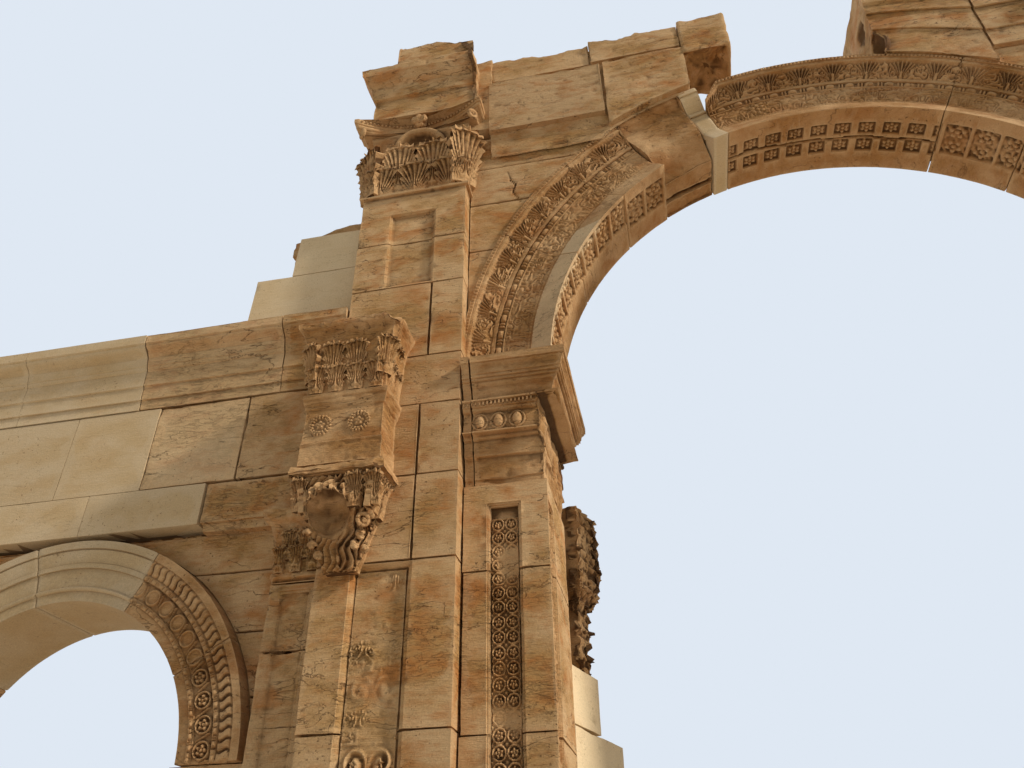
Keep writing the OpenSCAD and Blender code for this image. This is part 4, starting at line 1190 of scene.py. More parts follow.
def bead_row(a, b, middle, half, front, sag, z, size, step):
    """Small pebbles along the hollow edge of the abacus."""
    for q in np.arange(a, b, step):
        y = front + sag * max(0, 1 - ((q - middle) / half) ** 2)
        yield pebble((q, y, z), (size, size * 0.9, size), 8, 5), 0.06


def capital_bell(middle, cell):
    """The bell, with a round lip above its middle where the cells are fine enough to show it."""
    plan, cells = (GIANT_IN + 0.05, GIANT_OUT - 0.05, GIANT_FACE + 0.1, 0.04), (cell, cell, HIDDEN, cell)
    bell = course(plan, follow(placed(BELL, CAPITAL_Z, ABACUS_Z - CAPITAL_Z), cell), cells, (1, 1, 0, 1))
    reach = np.hypot(bell[..., 0] - middle, (bell[..., 2] - ABACUS_Z + 0.34) / 0.85)
    above = unit((bell[..., 2] - ABACUS_Z + 0.36) * 8)
    lip = 0.08 * arc((reach - 0.34) / 0.06) - 0.06 * unit((0.3 - reach) * 12)
    lip = lip * above * (cell < 0.05)
    bell[..., 1] += np.where(bell[..., 1] < 0, 0.03 * layers(bell, 0.2, 31) - lip, 0)
    return bell


def capital_abacus(middle, cell, reach=0.23, front=-0.36, sag=0.3):
    """The abacus with its hollow front, its chipped outer tip and its row of beads."""
    half = (GIANT_OUT - GIANT_IN + 2 * reach) / 2 - 0.06
    plan = (GIANT_IN - reach, GIANT_OUT + reach, front, 0.03)
    profile = follow(placed(ABACUS, ABACUS_Z, CAPITAL_TOP - ABACUS_Z), 0.02)
    abacus = course(plan, profile, (cell, cell, HIDDEN, cell), (1, 1, 0, 1))
    abacus = hollow_sides(abacus, middle, half, front, sag)
    yield bite(abacus, (GIANT_OUT + 0.27, -0.42, CAPITAL_TOP - 0.18), 0.12, 4), 0.03
    yield from bead_row(plan[0] + 0.03, plan[1] - 0.1, middle, half, front - 0.01, sag, CAPITAL_TOP - 0.05,
                        0.022, 0.052)


def turn_plan(loops, turn):
    """Turns loops by degrees around the upright axis through their origin, by cosine and sine."""
    a = radians(turn)
    q, y = loops[..., 0], loops[..., 1]
    return np.stack([q * cos(a) - y * sin(a), q * sin(a) + y * cos(a), loops[..., 2]], -1)


print("abacus from", round(ABACUS_Z, 2), "to", round(CAPITAL_TOP, 2))

# %% Leaves and scrolls of the giant capitals
def giant_capital(fine, cell):
    """Front or rear half of a giant capital, drawn for the front. fine is the leaf's grid."""
    middle = (GIANT_IN + GIANT_OUT) / 2
    yield capital_bell(middle, cell), -0.02
    yield from capital_abacus(middle, cell)
    for q, y, radius in ((middle, -0.16, 0.1), (middle - 0.07, -0.22, 0.055), (middle + 0.07, -0.21, 0.055),
                         (middle, -0.22, 0.07)):
        lump = pebble((q, y, ABACUS_Z + 0.13 + 0.4 * radius), (radius, radius, radius * 1.25), 20, 13)
        yield lump + 0.07 * (layers(lump, 0.06, 3)[..., None] - 0.5), 0.0
    scroll = ring_bead((0, 0, 0), 0.055, 0.032, 20)
    for q, far in ((GIANT_IN - 0.1, -45), (GIANT_OUT + 0.09, 45)):
        yield turn_plan(scroll, far) + (q, GIANT_FACE - 0.11, ABACUS_Z - 0.07), 0.0
        yield pebble((q, GIANT_FACE - 0.11, ABACUS_Z - 0.07), (0.03, 0.03, 0.03)), 0.0
    low_h, high_h = 0.5, 0.98
    places = np.linspace(GIANT_IN, GIANT_OUT, 4)
    for k, q in enumerate((places[:-1] + places[1:]) / 2):
        low = leaf((q, GIANT_FACE - 0.01, CAPITAL_Z + 0.01), 0, 0.52, low_h, 0.1, 1.7, thick=0.13,
                   depth=0.034, size=fine)
        yield torn(low, k), 0.0
    for k, q in enumerate(places):
        facing, inward = (-38, 0, 0, 38)[k], (0.02, 0, 0, -0.02)[k]
        back, wide, high, out = (0.02, 0.58, high_h, 0.14) if k in (0, 3) else (0.01, 0.54, 0.9, 0.1)
        tall = leaf((q + inward, GIANT_FACE + back, CAPITAL_Z + 0.02), facing, wide, high, out, 1.7, ribs=3.1,
                    thick=0.14, depth=0.034, size=fine)
        yield torn(tall, 10 + k, 0.03 if k < 3 else 0.25), 0.05
    for face, q in ((-90, GIANT_IN), (90, GIANT_OUT)):
        yield leaf((q, GIANT_FACE + 0.12, CAPITAL_Z + 0.01), face, 0.2, low_h, 0.09, size=fine), -0.05


def at_the_back(parts):
    """The same parts for the rear face: y is mirrored about the middle of the pier."""
    return [(loops * (1, -1, 1) + (0, PIER_BACK, 0), tone) for loops, tone in parts]


for word, side, grain in SIDES:
    parts = list(giant_capital((30, 27) if side < 0 else (20, 15), 0.022 * grain))
    parts += at_the_back(giant_capital((14, 11), 0.06))
    parts.append((course((GIANT_IN, GIANT_OUT, 0, PIER_BACK), [(0, CAPITAL_Z), (0, CAPITAL_TOP - 0.01)],
                         (HIDDEN, 0.2, HIDDEN, 0.2), (0, 0, 0, 0)), 0.0))
    slab = follow([(0, ABACUS_Z + 0.12), (0, CAPITAL_TOP - 0.01)], 0.06)
    parts.append((course((GIANT_IN - 0.2, GIANT_OUT + 0.2, 0, PIER_BACK), slab, (HIDDEN, 0.1, HIDDEN, 0.1),
                         (0, 0, 0, 0)), 0.0))
    make_piece(f"{word}_giant_capital_leaves", parts, carved, [f"{word}_giant_capital"], side,
               wear=(0.006, 0.004, 0.006))
report("giant capitals")

# %% [markdown]
# ## Consoles
# Halfway up each giant pilaster a block stands out that once carried a statue. It has its own small
# capital, whose front broke away to a smooth dark scoop, a frieze with two wreaths, and a cornice with
# two rows of leaves.

# %% Profiles of a console
C_IN, C_OUT, C_FRONT = 5.2, 6.1, -0.65
C_Z, C_FRIEZE, C_CORNICE, C_TOP = 4.55, 5.6, 6.45, span("left_console_entablature")[5]
FRIEZE = [(0.0, 0), (0.0, 0.3), (-0.012, 0.32), (-0.016, 0.78), (0.0, 0.8), (0.004, 0.84), (0.02, 0.88),
          (0.022, 0.92), (0.034, 0.94), (0.034, 1)]
CORNICE = [(0.0, 0), (0.0, 0.1), (0.02, 0.35), (0.04, 0.55), (0.08, 0.72), (0.13, 0.82), (0.155, 0.87),
           (0.16, 0.95), (0.12, 1)]
CONSOLE_BELL = [(-0.3, 0), (-0.285, 0.05), (-0.25, 0.12), (-0.2, 0.3), (-0.13, 0.5), (-0.07, 0.68),
                (-0.02, 0.8), (0.0, 0.85), (-0.01, 0.87)]
CONSOLE_LIP = [(-0.02, 0.86), (0.03, 0.88), (0.055, 0.9), (0.062, 0.94), (0.045, 1)]
C_PLAN = (C_IN, C_OUT, C_FRONT, GIANT_FACE + 0.02)
print("console from", C_Z, "to", round(C_TOP, 2))

# %% Frieze with two wreaths
def wreath(u, v, radius=0.115):
    """A wreath of two rows of dots around a small flower; u and v are metres from its middle."""
    reach, angle = np.hypot(u, v), np.arctan2(u, v)
    dots = 0.0
    for ring, count in ((radius, 20), (radius * 0.76, 15)):
        a, b = repeat(angle, 2 * pi / count) * pi * ring / count, reach - ring
        dots = np.maximum(dots, arc(np.hypot(a, b) / 0.016))
    return np.maximum(dots, rosette(u / 0.06, v / 0.06) * (reach < 0.06))


def console_frieze(cell, cells):
    """The frieze: its front stands back but for the wreaths, its side is covered with drilled curls."""
    frieze = course(C_PLAN, follow(placed(FRIEZE, C_FRIEZE, 0.85), cell), cells, (1, 1, 0, 1))
    front = frieze[..., 1] < C_FRONT + 0.03
    q, z = frieze[..., 0], frieze[..., 2]
    relief = sum(wreath(q - at, z - 6.07) for at in (5.47, 5.9))
    lower = unit((5.86 - z) * 30)
    frieze[..., 1] += np.where(front, 0.014 - 0.026 * relief + lower * 0.03 * layers(frieze, 0.09, 15), 0)
    side_face = frieze[..., 0] < C_IN + 0.03
    curled = 0.012 * (1 - curls(frieze[..., 1], z - 5.9)) * (z < 6.25)
    frieze[..., 0] += np.where(side_face & ~front, curled, 0)
    return frieze


print("height of a wreath's flower:", wreath(0, 0).round(2))

# %% Cornice with two rows of leaves
def broken_edge(loops, top, depth, seed):
    """Lowers the points near the top of a block unevenly, by a cloud times their nearness to the top."""
    near = unit(1 - (top - loops[..., 2]) / 0.2)
    loops[..., 2] -= near * depth * layers(loops, (0.16, 0.16, 3.0), seed)
    return loops


def console_cornice(cell, cells, fine):
    """The cornice's rough body, then four low leaves, five taller ones between them, and two at the side."""
    body = course(C_PLAN, follow(placed(CORNICE, C_CORNICE, C_TOP - C_CORNICE), cell), cells, (1, 1, 0, 1))
    worn_away = unit((body[..., 2] - 6.9) * 3) * layers(body, 0.13, 17)
    body[..., 1] += np.where(body[..., 1] < C_FRONT + 0.03, 0.05 * worn_away, 0)
    body[..., 0] += np.where(body[..., 0] < C_IN + 0.03, 0.05 * worn_away, 0)
    body = broken_edge(body, C_TOP, 0.1, 18)
    body = bite(body, (C_IN - 0.15, C_FRONT - 0.12, C_TOP - 0.02), 0.17, 3)
    yield body, 0.02
    step = (C_OUT - C_IN) / 4
    for k in range(4):
        low = leaf((C_OUT - step * (k + 0.5), C_FRONT - 0.03, C_CORNICE), 0, 0.27, 0.34, 0.06, 1.7, size=fine)
        yield torn(low, 30 + k, 0.04), 0.05
    for k, (at, y, face) in enumerate(((C_OUT - 0.02, C_FRONT, 30), (C_OUT - step * 1.25, C_FRONT, 0),
                                       (C_OUT - step * 2.45, C_FRONT, 0), (C_IN + 0.01, C_FRONT + 0.01, -45),
                                       (C_IN, C_FRONT + 0.22, -90))):
        tall = leaf((at, y - 0.035, C_CORNICE + 0.16), face, 0.3, 0.48, 0.1, 1.9, size=fine)
        yield torn(tall, 40 + k, 0.05), 0.06
    for y in (C_FRONT + 0.12, C_FRONT + 0.32):
        yield leaf((C_IN + 0.01, y, C_CORNICE), -90, 0.2, 0.34, 0.07, size=fine), 0.05


print("cornice from", C_CORNICE, "to", round(C_TOP, 2))

# %% [markdown]
# ## The console's capital
# Its front broke away and left a smooth dark scoop, wavy ridges below it, lumps beside it, and a few leaves
# around the broken lip. The scoop is a ball; the lumps are pebbles whose points are moved by a cloud.

# %% The console's capital
SCOOP, SCOOP_R = np.array([5.72, -0.62, 5.02]), 0.25
# Place and radius of each lump beside the scoop.
LUMPS = [(5.36, -0.52, 4.98, 0.055), (5.4, -0.46, 4.86, 0.05), (5.33, -0.44, 5.08, 0.05),
         (5.46, -0.45, 4.76, 0.045), (5.38, -0.38, 4.74, 0.04), (5.94, -0.5, 4.92, 0.05),
         (5.9, -0.45, 4.8, 0.045), (5.84, -0.42, 4.7, 0.045)]


def console_capital(cell, cells, fine):
    """The bell with its scoop, the broken lip, its leaves and the lumps."""
    bell = course(C_PLAN, follow(placed(CONSOLE_BELL, C_Z, 1.05), cell), cells, (1, 0.93, 0, 0.93))
    around = bell[..., 0] - bell[..., 1]
    height = bell[..., 2] - C_Z
    bent = around / 0.075 + 0.45 * np.sin(height / 0.045) + layers(bell, 0.12, 27)
    waves = 0.5 + 0.5 * np.cos(2 * pi * bent)
    away = np.linalg.norm(bell - SCOOP, axis=-1) + 0.06 * layers(bell, 0.07, 24)
    sunk = (0.055 * (1 - waves) + 0.02 * layers(bell, 0.05, 19)) * unit((away - 0.24) * 9)
    bell[..., 1] += np.where(bell[..., 1] < -0.28, sunk, 0)
    bell[..., 0] += np.where(bell[..., 1] < -0.28, sunk * np.sign(5.65 - bell[..., 0]) * 0.6, 0)
    above = unit((bell[..., 2] - 5.05) * 6)
    bell[..., 1] -= 0.2 * layers(bell, 0.06, 25) * arc((away - 0.31) / 0.1) * above * (bell[..., 1] < -0.25)
    yield bite(bell, SCOOP, SCOOP_R, 60), 0.0
    lip = course(C_PLAN, follow(placed(CONSOLE_LIP, C_Z, 1.05), cell), cells, (1, 1, 0, 1))
    lip[..., 2] -= np.where(lip[..., 2] > 5.5, 0.05 * layers(lip, 0.12, 20), -0.03 * layers(lip, 0.12, 21))
    lip[..., 1] += np.where(lip[..., 1] < C_FRONT, 0.06 * layers(lip, 0.15, 22), 0)
    yield bite(lip, (C_IN - 0.08, C_FRONT - 0.1, 5.52), 0.12, 2), 0.05
    for k in (0, 3, 4):
        hanging = leaf((C_OUT - 0.06 - 0.195 * k, C_FRONT + 0.06, 5.1), 0, 0.22, 0.36, 0.11, 1.9, size=fine)
        yield torn(hanging, 50 + k, 0.05), 0.03
    for k in range(3):
        yield leaf((C_IN + 0.07, C_FRONT + 0.1 + 0.15 * k, 5.08), -90, 0.18, 0.38, 0.08, size=fine), 0.06
        yield leaf((C_OUT - 0.07, C_FRONT + 0.1 + 0.15 * k, 5.08), 90, 0.18, 0.38, 0.08, size=fine), 0.0
    for k, (q, y, z, r) in enumerate(LUMPS):
        if k == 0:
            yield turn_plan(ring_bead((0, 0, 0), r, r * 0.45, 18), -35 + 9 * k) + (q, y, z), 0.04
        lump = pebble((q, y + 0.02, z), (r * (0.6 if k == 0 else 1.1),) * 3, 16, 11)
        yield lump + 1.8 * r * (layers(lump, 0.045, k)[..., None] - 0.5), 0.0


for word, side, grain in SIDES:
    cell, fine = (0.012, (24, 19)) if side < 0 else (0.024, (14, 11))
    cells = (cell, cell, HIDDEN, cell * 1.5)
    parts = [(console_frieze(cell, cells), 0.03), *console_cornice(cell, cells, fine),
             *console_capital(cell, cells, fine)]
    make_piece(f"{word}_console_carved", parts, carved,
               [f"{word}_console_capital", f"{word}_console_entablature"], side, wear=(0.005, 0.005, 0.01))
report("consoles")

# %% [markdown]
# ## Walls of the side passage
# The side passage has an arch of its own, small pilasters beside it, a wall of large blocks above, and an
# architrave. Next to the giant pilaster the stones are old; further out they were sawn for the
# restoration, with tight joints and a smooth face.

# %% Sizes of the side walls
arch_q0, arch_q1 = span("right_side_arch_old")[:2]
SIDE_MID, SIDE_OUT = (arch_q0 + arch_q1) / 2, (arch_q1 - arch_q0) / 2
_, WALL_END, _, SIDE_BACK, WALL_Z, _ = span("right_upper_wall")
SIDE_SPRING = span("side_spandrels")[4]
ARCHITRAVE_Z, ARCHITRAVE_TOP = span("right_side_architrave")[4:]
WALL_RECESS = span("side_jambs")[2]
SIDE_REACH = 0.67
SIDE_IN = SIDE_OUT - SIDE_REACH
SMALL_W = 0.55
SMALL_FAR = 2 * SIDE_MID - GIANT_OUT
print("side arch:", round(2 * SIDE_IN, 2), "m wide, its middle at", round(SIDE_MID, 2))

# %% The upper wall, old and new
def wall_stones(rows, y0, y1, grain, seed=0, edge=0.011, chips=6.0, gap=JOINT):
    """Blocks in rows: each row is (z0, z1, places along q, tones)."""
    for k, (z0, z1, places, tones) in enumerate(rows):
        for n, (q0, q1) in enumerate(zip(places, places[1:])):
            yield block((q0 + gap / 2, q1 - gap / 2, y0, y1, z0 + gap / 2, z1 - gap / 2),
                        (MEDIUM * grain, HIDDEN, COARSE, HIDDEN), edge, chips, seed + 7 * k + n), tones[n]


for word, side, grain in SIDES:
    q = GIANT_OUT
    old = [(WALL_Z, 5.9, (q, 7.52), (0.0,)), (5.9, ARCHITRAVE_Z, (q, 7.18, 8.37), (-0.02, 0.14))]
    new = [(WALL_Z, 5.9, (7.52, 9.0, 10.6, WALL_END), (0.0, 0.03, -0.02)),
           (5.9, ARCHITRAVE_Z, (8.37, 9.49, 10.8, WALL_END), (0.02, -0.02, 0.03))]
    stones = list(wall_stones(old, 0, SIDE_BACK, grain, 30, edge=0.013, chips=9, gap=0.006))
    stones[0] = (block((q + 0.003, 7.517, 0, SIDE_BACK, WALL_Z, 5.898),
                       (MEDIUM * grain, HIDDEN, COARSE, HIDDEN), 0.022, 5, 35), 0.0)
    stones.append(core((q, 8.37, 0.1, SIDE_BACK, WALL_Z, ARCHITRAVE_Z)))
    stones.append((block((q, 7.5, 0.04, SIDE_BACK - 0.04, WALL_Z - 0.1, WALL_Z + 0.1),
                         (0.1, HIDDEN, 0.3, HIDDEN), 0.03), 0.0))
    make_piece(f"{word}_upper_wall_old_stones", stones, ashlar, [f"{word}_upper_wall"], side,
               wear=(0.016, 0.012, 0.006))
    stones = list(wall_stones(new, 0, SIDE_BACK, grain * 1.6, 40, edge=0.004, chips=4, gap=0.003))
    stones.append(core((8.37, WALL_END, 0.1, SIDE_BACK, WALL_Z, ARCHITRAVE_Z)))
    make_piece(f"{word}_upper_wall_new_stones", stones, sawn, [f"{word}_upper_wall"], side,
               wear=(0.003, 0.001, 0))


report("upper walls")

# %% [markdown]
# ## Courses beside an arch
# The stones beside an arch are cut to its circle, so the width of such a course changes from loop to loop.

# %% Spandrels, jambs and imposts of the side passages
def beside_arch(q0, q1, y0, y1, z0, z1, centre, radius, cells, gap=JOINT, side=-1, limit=None):
    """A course beside an arch: at each height its end follows the circle, whose half width at that height
    is the root of r^2 - z^2. side -1 means that the block's lower q end meets the circle."""
    z = ticks(z1 - z0 - gap, cells[0]) + z0 + gap / 2
    half = np.sqrt(np.clip((radius + gap) ** 2 - (z - centre[1]) ** 2, 0, None))
    end = centre[0] + half if side < 0 else centre[0] - half
    if limit is not None:
        end = np.maximum(end, limit) if side < 0 else np.minimum(end, limit)
    if side < 0:
        low, high = np.clip(end, None, q1 - 0.02), q1 - gap / 2 + 0 * z
    else:
        low, high = q0 + gap / 2 + 0 * z, np.clip(end, q0 + 0.02, None)
    share = plan_loop(q1 - q0, y1 - y0, cells)
    q = low[:, None] + share[:, 0] * (high - low)[:, None]
    y = y0 + share[:, 1] * (y1 - y0) + 0 * q
    loops = np.stack([q, y, z[:, None] + 0 * q], -1)
    inset = 0.012 * unit(1 - np.minimum(z - z[0], z[-1] - z) / 0.012)[:, None] ** 2
    loops[..., 1] += inset * np.sign((y0 + y1) / 2 - loops[..., 1])
    return loops


def both(parts):
    """The parts and their mirror images on the other side of the building."""
    return [(loops * (s, 1, 1), tone) for loops, tone in parts for s in (-1, 1)]


cells, crown_z = (MEDIUM, 0.06, COARSE, 0.06), SIDE_SPRING + SIDE_OUT
depths, ring = (WALL_RECESS, SIDE_BACK), ((SIDE_MID, SIDE_SPRING), SIDE_OUT)
stones = []
for k, (z0, z1) in enumerate(((SIDE_SPRING, 3.55), (3.55, 4.2), (4.2, 4.86), (4.86, crown_z))):
    stones.append((beside_arch(GIANT_OUT, 8.0, *depths, z0, z1, *ring, cells, side=1), 0.03 - 0.02 * k))
    stones.append((beside_arch(9.9, WALL_END, *depths, z0, z1, *ring, cells, side=-1), 0.02 * k))
for q0, q1 in ((GIANT_OUT, 7.7), (7.7, 9.2), (9.2, 10.7), (10.7, WALL_END)):
    stones.append((block((q0, q1, *depths, crown_z, WALL_Z), cells, 0.005), 0.0))
make_piece("side_spandrel_stones", both(stones), ashlar, ["side_spandrels"])
stones = []
for z0, z1 in ((PLINTH_TOP, 1.2), (1.2, 2.0), (2.0, span("side_jambs")[5])):
    for q0, q1 in ((GIANT_OUT, SIDE_MID - SIDE_IN), (SIDE_MID + SIDE_IN, WALL_END)):
        stones.append((block((q0, q1, *depths, z0 + JOINT, z1 - JOINT), (0.06, 0.08, COARSE, 0.08)),
                       0.02 * (q0 > 8)))
make_piece("side_jamb_stones", both(stones), ashlar, ["side_jambs"])
z0, z1 = span("side_imposts")[4:]
slab = [(0.0, z0), (0.0, z0 + 0.05), (0.03, z0 + 0.06), (0.055, z0 + 0.11), (0.07, z0 + 0.115), (0.07, z1)]
moulded, plain = follow(slab, 0.02), follow([(0, z0), (0, z1)], 0.05)
stones = [(course((q0, q1, *depths), profile, cells, wraps), tone)
          for q0, q1, profile, cells, wraps, tone in (
    (GIANT_OUT + SMALL_W, SIDE_MID - SIDE_IN, moulded, (0.05, 0.06, 0.1, HIDDEN), (1, 1, 1, 0), 0.02),
    (GIANT_OUT, GIANT_OUT + SMALL_W, plain, (0.06, HIDDEN, 0.1, HIDDEN), (1, 0, 1, 0), 0.0),
    (SIDE_MID + SIDE_IN, SMALL_FAR - SMALL_W, moulded, (0.05, HIDDEN, 0.1, 0.06), (1, 0, 1, 1), 0.0),
    (SMALL_FAR - SMALL_W, WALL_END, plain, (0.06, HIDDEN, 0.1, HIDDEN), (1, 0, 1, 0), 0.0))]
make_piece("side_impost_slabs", both(stones), ashlar, ["side_imposts"])
report("side walls")

# %% [markdown]
# ## Side arch
# The old part of the side arch has tongues, beads, and a chain of linked rings with a flower in each. The
# upper part was made again with plain mouldings, so the eye sees at once which stones are new.

# %% Section and carving of the side arch
OLD_SIDE = [(1.0, 0.0), (0.87, 0.0), (0.865, 0.012), (0.63, 0.04), (0.625, 0.034), (0.55, 0.034),
            (0.545, 0.055), (0.24, 0.055), (0.235, 0.048), (0.165, 0.048), (0.16, 0.07), (0.0, 0.07)]
NEW_SIDE = [(1.0, 0.0), (0.87, 0.0), (0.865, 0.02), (0.845, 0.02), (0.84, 0.01), (0.63, 0.04),
            (0.62, 0.03), (0.545, 0.03), (0.54, 0.055), (0.24, 0.055), (0.235, 0.045), (0.21, 0.035),
            (0.18, 0.045), (0.165, 0.07), (0.0, 0.07)]


def side_carving(angle, f):
    """Height of the old side ring's carving: tongues, beads, linked rings and beads again."""
    u = (pi - angle) * (SIDE_IN + 0.3)
    height = np.zeros_like(f)
    v, inside = in_band(f, 0.64, 0.86)
    height += inside * (0.036 * tongues(u, v) * unit(9 * v) * unit(9 * (1 - v)) - 0.012)
    for low, high in ((0.55, 0.625), (0.165, 0.235)):
        v, inside = in_band(f, low, high)
        height += inside * (0.028 * beads(u, v, 0.115) - 0.01)
    v, inside = in_band(f, 0.25, 0.54)
    return height + inside * (0.042 * linked_rings(u, v) - 0.016)


def side_arch_stone(a0, a1, front, carved_front, cells, wear=0.0):
    """One stone of the side arch. wear grows towards the top, where the old carving is rubbed away."""
    section, n_face, _ = ring_section(front, 0.0, SIDE_IN, SIDE_OUT, SIDE_BACK, cells)

    def carve(angle, radius, y):
        face = np.s_[:, :n_face]
        place = np.stack([radius * np.cos(angle), y, radius * np.sin(angle)], -1)[face]
        if carved_front:
            rubbed = unit(wear + 0.9 * layers(place, 0.4, 12) - 0.42)
            y[face] -= side_carving(angle[face], (radius[face] - SIDE_IN) / SIDE_REACH) * (1 - rubbed)
            y[face] += 0.02 * rubbed * layers(place, 0.1, 3)
        return radius, np.maximum(y, 0)

    return arch_stone(a0, a1, section, carve, cells[0], (SIDE_MID, SIDE_SPRING))


print("old and new front:", len(OLD_SIDE), "and", len(NEW_SIDE), "corners")

# %% Stones of the side arches
for word, side, grain in SIDES:
    old = []
    # Angles in degrees, distance between points, wear and tone of each old stone.
    for a0, a1, cell, wear, tone in ((151, 180, 0.011, 0.0, 0.0), (116, 151, 0.011, 0.2, 0.03),
                                     (0, 20, 0.02, 0.25, 0.0), (20, 40, 0.02, 0.25, 0.0)):
        cells = (cell * grain, 0.05 * grain, 0.12)
        old.append((side_arch_stone(radians(a0), radians(a1), OLD_SIDE, True, cells, wear), tone))
    make_piece(f"{word}_side_arch_carved_rings", old, carved, [f"{word}_side_arch_old"], side,
               wear=(0.005, 0.004, 0.004))
    new = [(side_arch_stone(radians(a0), radians(a1), NEW_SIDE, False, (0.02 * grain, 0.06, 0.2)), tone)
           for a0, a1, tone in ((78, 116, -0.1), (40, 78, -0.13))]
    make_piece(f"{word}_side_arch_plain_mouldings", new, sawn, [f"{word}_side_arch_new"], side,
               wear=(0.002, 0.001, 0))
report("side arches")

# %% [markdown]
# ## Side architrave
# Three plain bands, each a little further out, and a crown moulding lie on the side walls. The old blocks
# are worn, and the last one has lost a corner; the new ones are plain and crisp.

# %% Side architrave
CROWN_REACH = 0.25
FASCIAS = [(0.04, 0), (0.04, 0.135), (0.13, 0.14), (0.13, 0.325), (0.15, 0.33), (0.22, 0.34), (0.22, 0.555),
           (0.25, 0.56), (0.27, 0.575), (0.33, 0.6), (0.33, 0.615), (0.36, 0.62), (0.4, 0.67), (0.45, 0.71),
           (0.45, 0.725), (0.6, 0.77), (0.8, 0.81), (0.92, 0.845), (0.92, 0.86), (1, 0.875), (1, 1)]
shape = placed(FASCIAS, ARCHITRAVE_Z, ARCHITRAVE_TOP - ARCHITRAVE_Z, CROWN_REACH)
for word, side, grain in SIDES:
    profile = follow(shape, 0.022 * grain)
    old = [(course((q0 + JOINT, q1 - JOINT, 0, SIDE_BACK), profile, (0.03 * grain, HIDDEN, 0.12, HIDDEN)),
            tone)
           for q0, q1, tone in ((GIANT_OUT, 6.8, -0.02), (6.8, 8.68, 0.12))]
    old[1] = (bite(old[1][0], (8.7, -0.12, ARCHITRAVE_Z - 0.04), 0.13, 9), 0.12)
    old.append(core((GIANT_OUT, 8.68, 0.1, SIDE_BACK, ARCHITRAVE_Z, ARCHITRAVE_TOP)))
    make_piece(f"{word}_side_architrave_old_blocks", old, ashlar, [f"{word}_side_architrave"], side,
               wear=(0.016, 0.018, 0.006))
    new = [(course((q0 + 0.002, q1 - 0.002, 0, SIDE_BACK), follow(shape, 0.05),
                   (0.08 * grain, far, 0.2, HIDDEN),
                   (1, wrap, 1, 0)), tone)
           for q0, q1, far, wrap, tone in ((8.68, 10.4, HIDDEN, 0, 0.0), (10.4, WALL_END, 0.08, 1, 0.02))]
    new.append(core((8.68, WALL_END, 0.1, SIDE_BACK, ARCHITRAVE_Z, ARCHITRAVE_TOP)))
    make_piece(f"{word}_side_architrave_new_blocks", new, sawn, [f"{word}_side_architrave"], side,
               wear=(0.003, 0.001, 0))

report("architraves")

# %% [markdown]
# ## Small pilasters
# One stands at both ends of each side arch, with a sunk panel and a capital of three low and three tall
# leaves.

# %% Small pilasters
front, cap_z = -0.05, 4.59
PANEL_STEPS = [(0, 0), (0.004, 0.014), (0.028, 0.014), (0.033, 0.03), (0.06, 0.034)]
CAP_SHAPE = [(0, 0), (0.02, 0.05), (0.1, 0.09), (0.1, 0.13), (0.03, 0.16), (0.06, 0.34), (0.14, 0.48),
             (0.1, 0.52), (0.2, 0.66), (0.34, 0.78), (0.62, 0.86), (0.62, 0.9), (0.66, 0.92), (0.66, 1)]
# Each leaf's place across and up from the foot of the capital, its width and its height.
CAP_LEAVES = [(0.1, 0.1, 0.2, 0.3), (0.29, 0.1, 0.2, 0.3), (0.47, 0.1, 0.18, 0.3),
              (0.02, 0.26, 0.22, 0.36), (0.2, 0.24, 0.22, 0.34), (0.38, 0.24, 0.22, 0.34)]
stones = []
for q0, q1, wraps in ((GIANT_OUT, GIANT_OUT + SMALL_W, (1, 1, 0, 0)),
                      (SMALL_FAR - SMALL_W, SMALL_FAR, (1, 1, 0, 1))):
    window = (q0 + 0.1, q1 - 0.1, 0.97, cap_z - 0.08)
    for k, (z0, z1) in enumerate(((PLINTH_TOP, 1.3), (1.3, 2.75), (2.75, 3.9), (3.9, cap_z))):
        stone = block((q0 + 0.004, q1, front, WALL_RECESS + 0.02, z0 + JOINT, z1 - JOINT),
                      (0.03, 0.05, HIDDEN, 0.05), chips=6, seed=k,
                      extra=(edge_ticks(*window[:2], PANEL_STEPS) - q0, (), (), ()),
                      extra_z=edge_ticks(*window[2:], PANEL_STEPS))
        stones.append((sink(stone, 1, front, 1, window, PANEL_STEPS), 0.02 - 0.02 * k))
    plan = (q0 + 0.004, q1, front, WALL_RECESS)
    base = follow(placed(BASE_SHAPE, PLINTH_TOP, 0.4, 0.06), 0.03)
    stones.append((course(plan, base, (0.05, HIDDEN, HIDDEN, HIDDEN), (1, 0, 0, 0)), 0))
    cap = follow(placed(CAP_SHAPE, cap_z, WALL_Z - cap_z, 0.226), 0.022)
    cap = course(plan, cap, (0.025, 0.03, HIDDEN, 0.04), wraps)
    cap[..., 1] += np.where(cap[..., 1] < front, 0.05 * layers(cap, 0.1, 6), 0)
    stones.append((cap, 0.0))
    for k, (at, z, wide, high) in enumerate(CAP_LEAVES):
        small = leaf((q0 + at, front - 0.03, cap_z + z), -35 * (k == 3), wide, high, 0.08, 1.8, size=(16, 15))
        stones.append((torn(small, 60 + k, 0.06), 0.03))
make_piece("small_pilaster_stones", both(stones), ashlar, ["small_pilasters"], wear=(0.014, 0.012, 0.01))
report("small pilasters")

# %% [markdown]
# ## Spandrels
# The wall beside the ring is made of large courses whose ends follow the circle. A jagged crack runs down
# through two of them: points near a line of corners are pushed into the face.

# %% Spandrels
CRACK = np.array([(3.97, 10.32), (3.93, 10.15), (3.86, 10.05), (3.9, 9.92), (3.8, 9.71)])


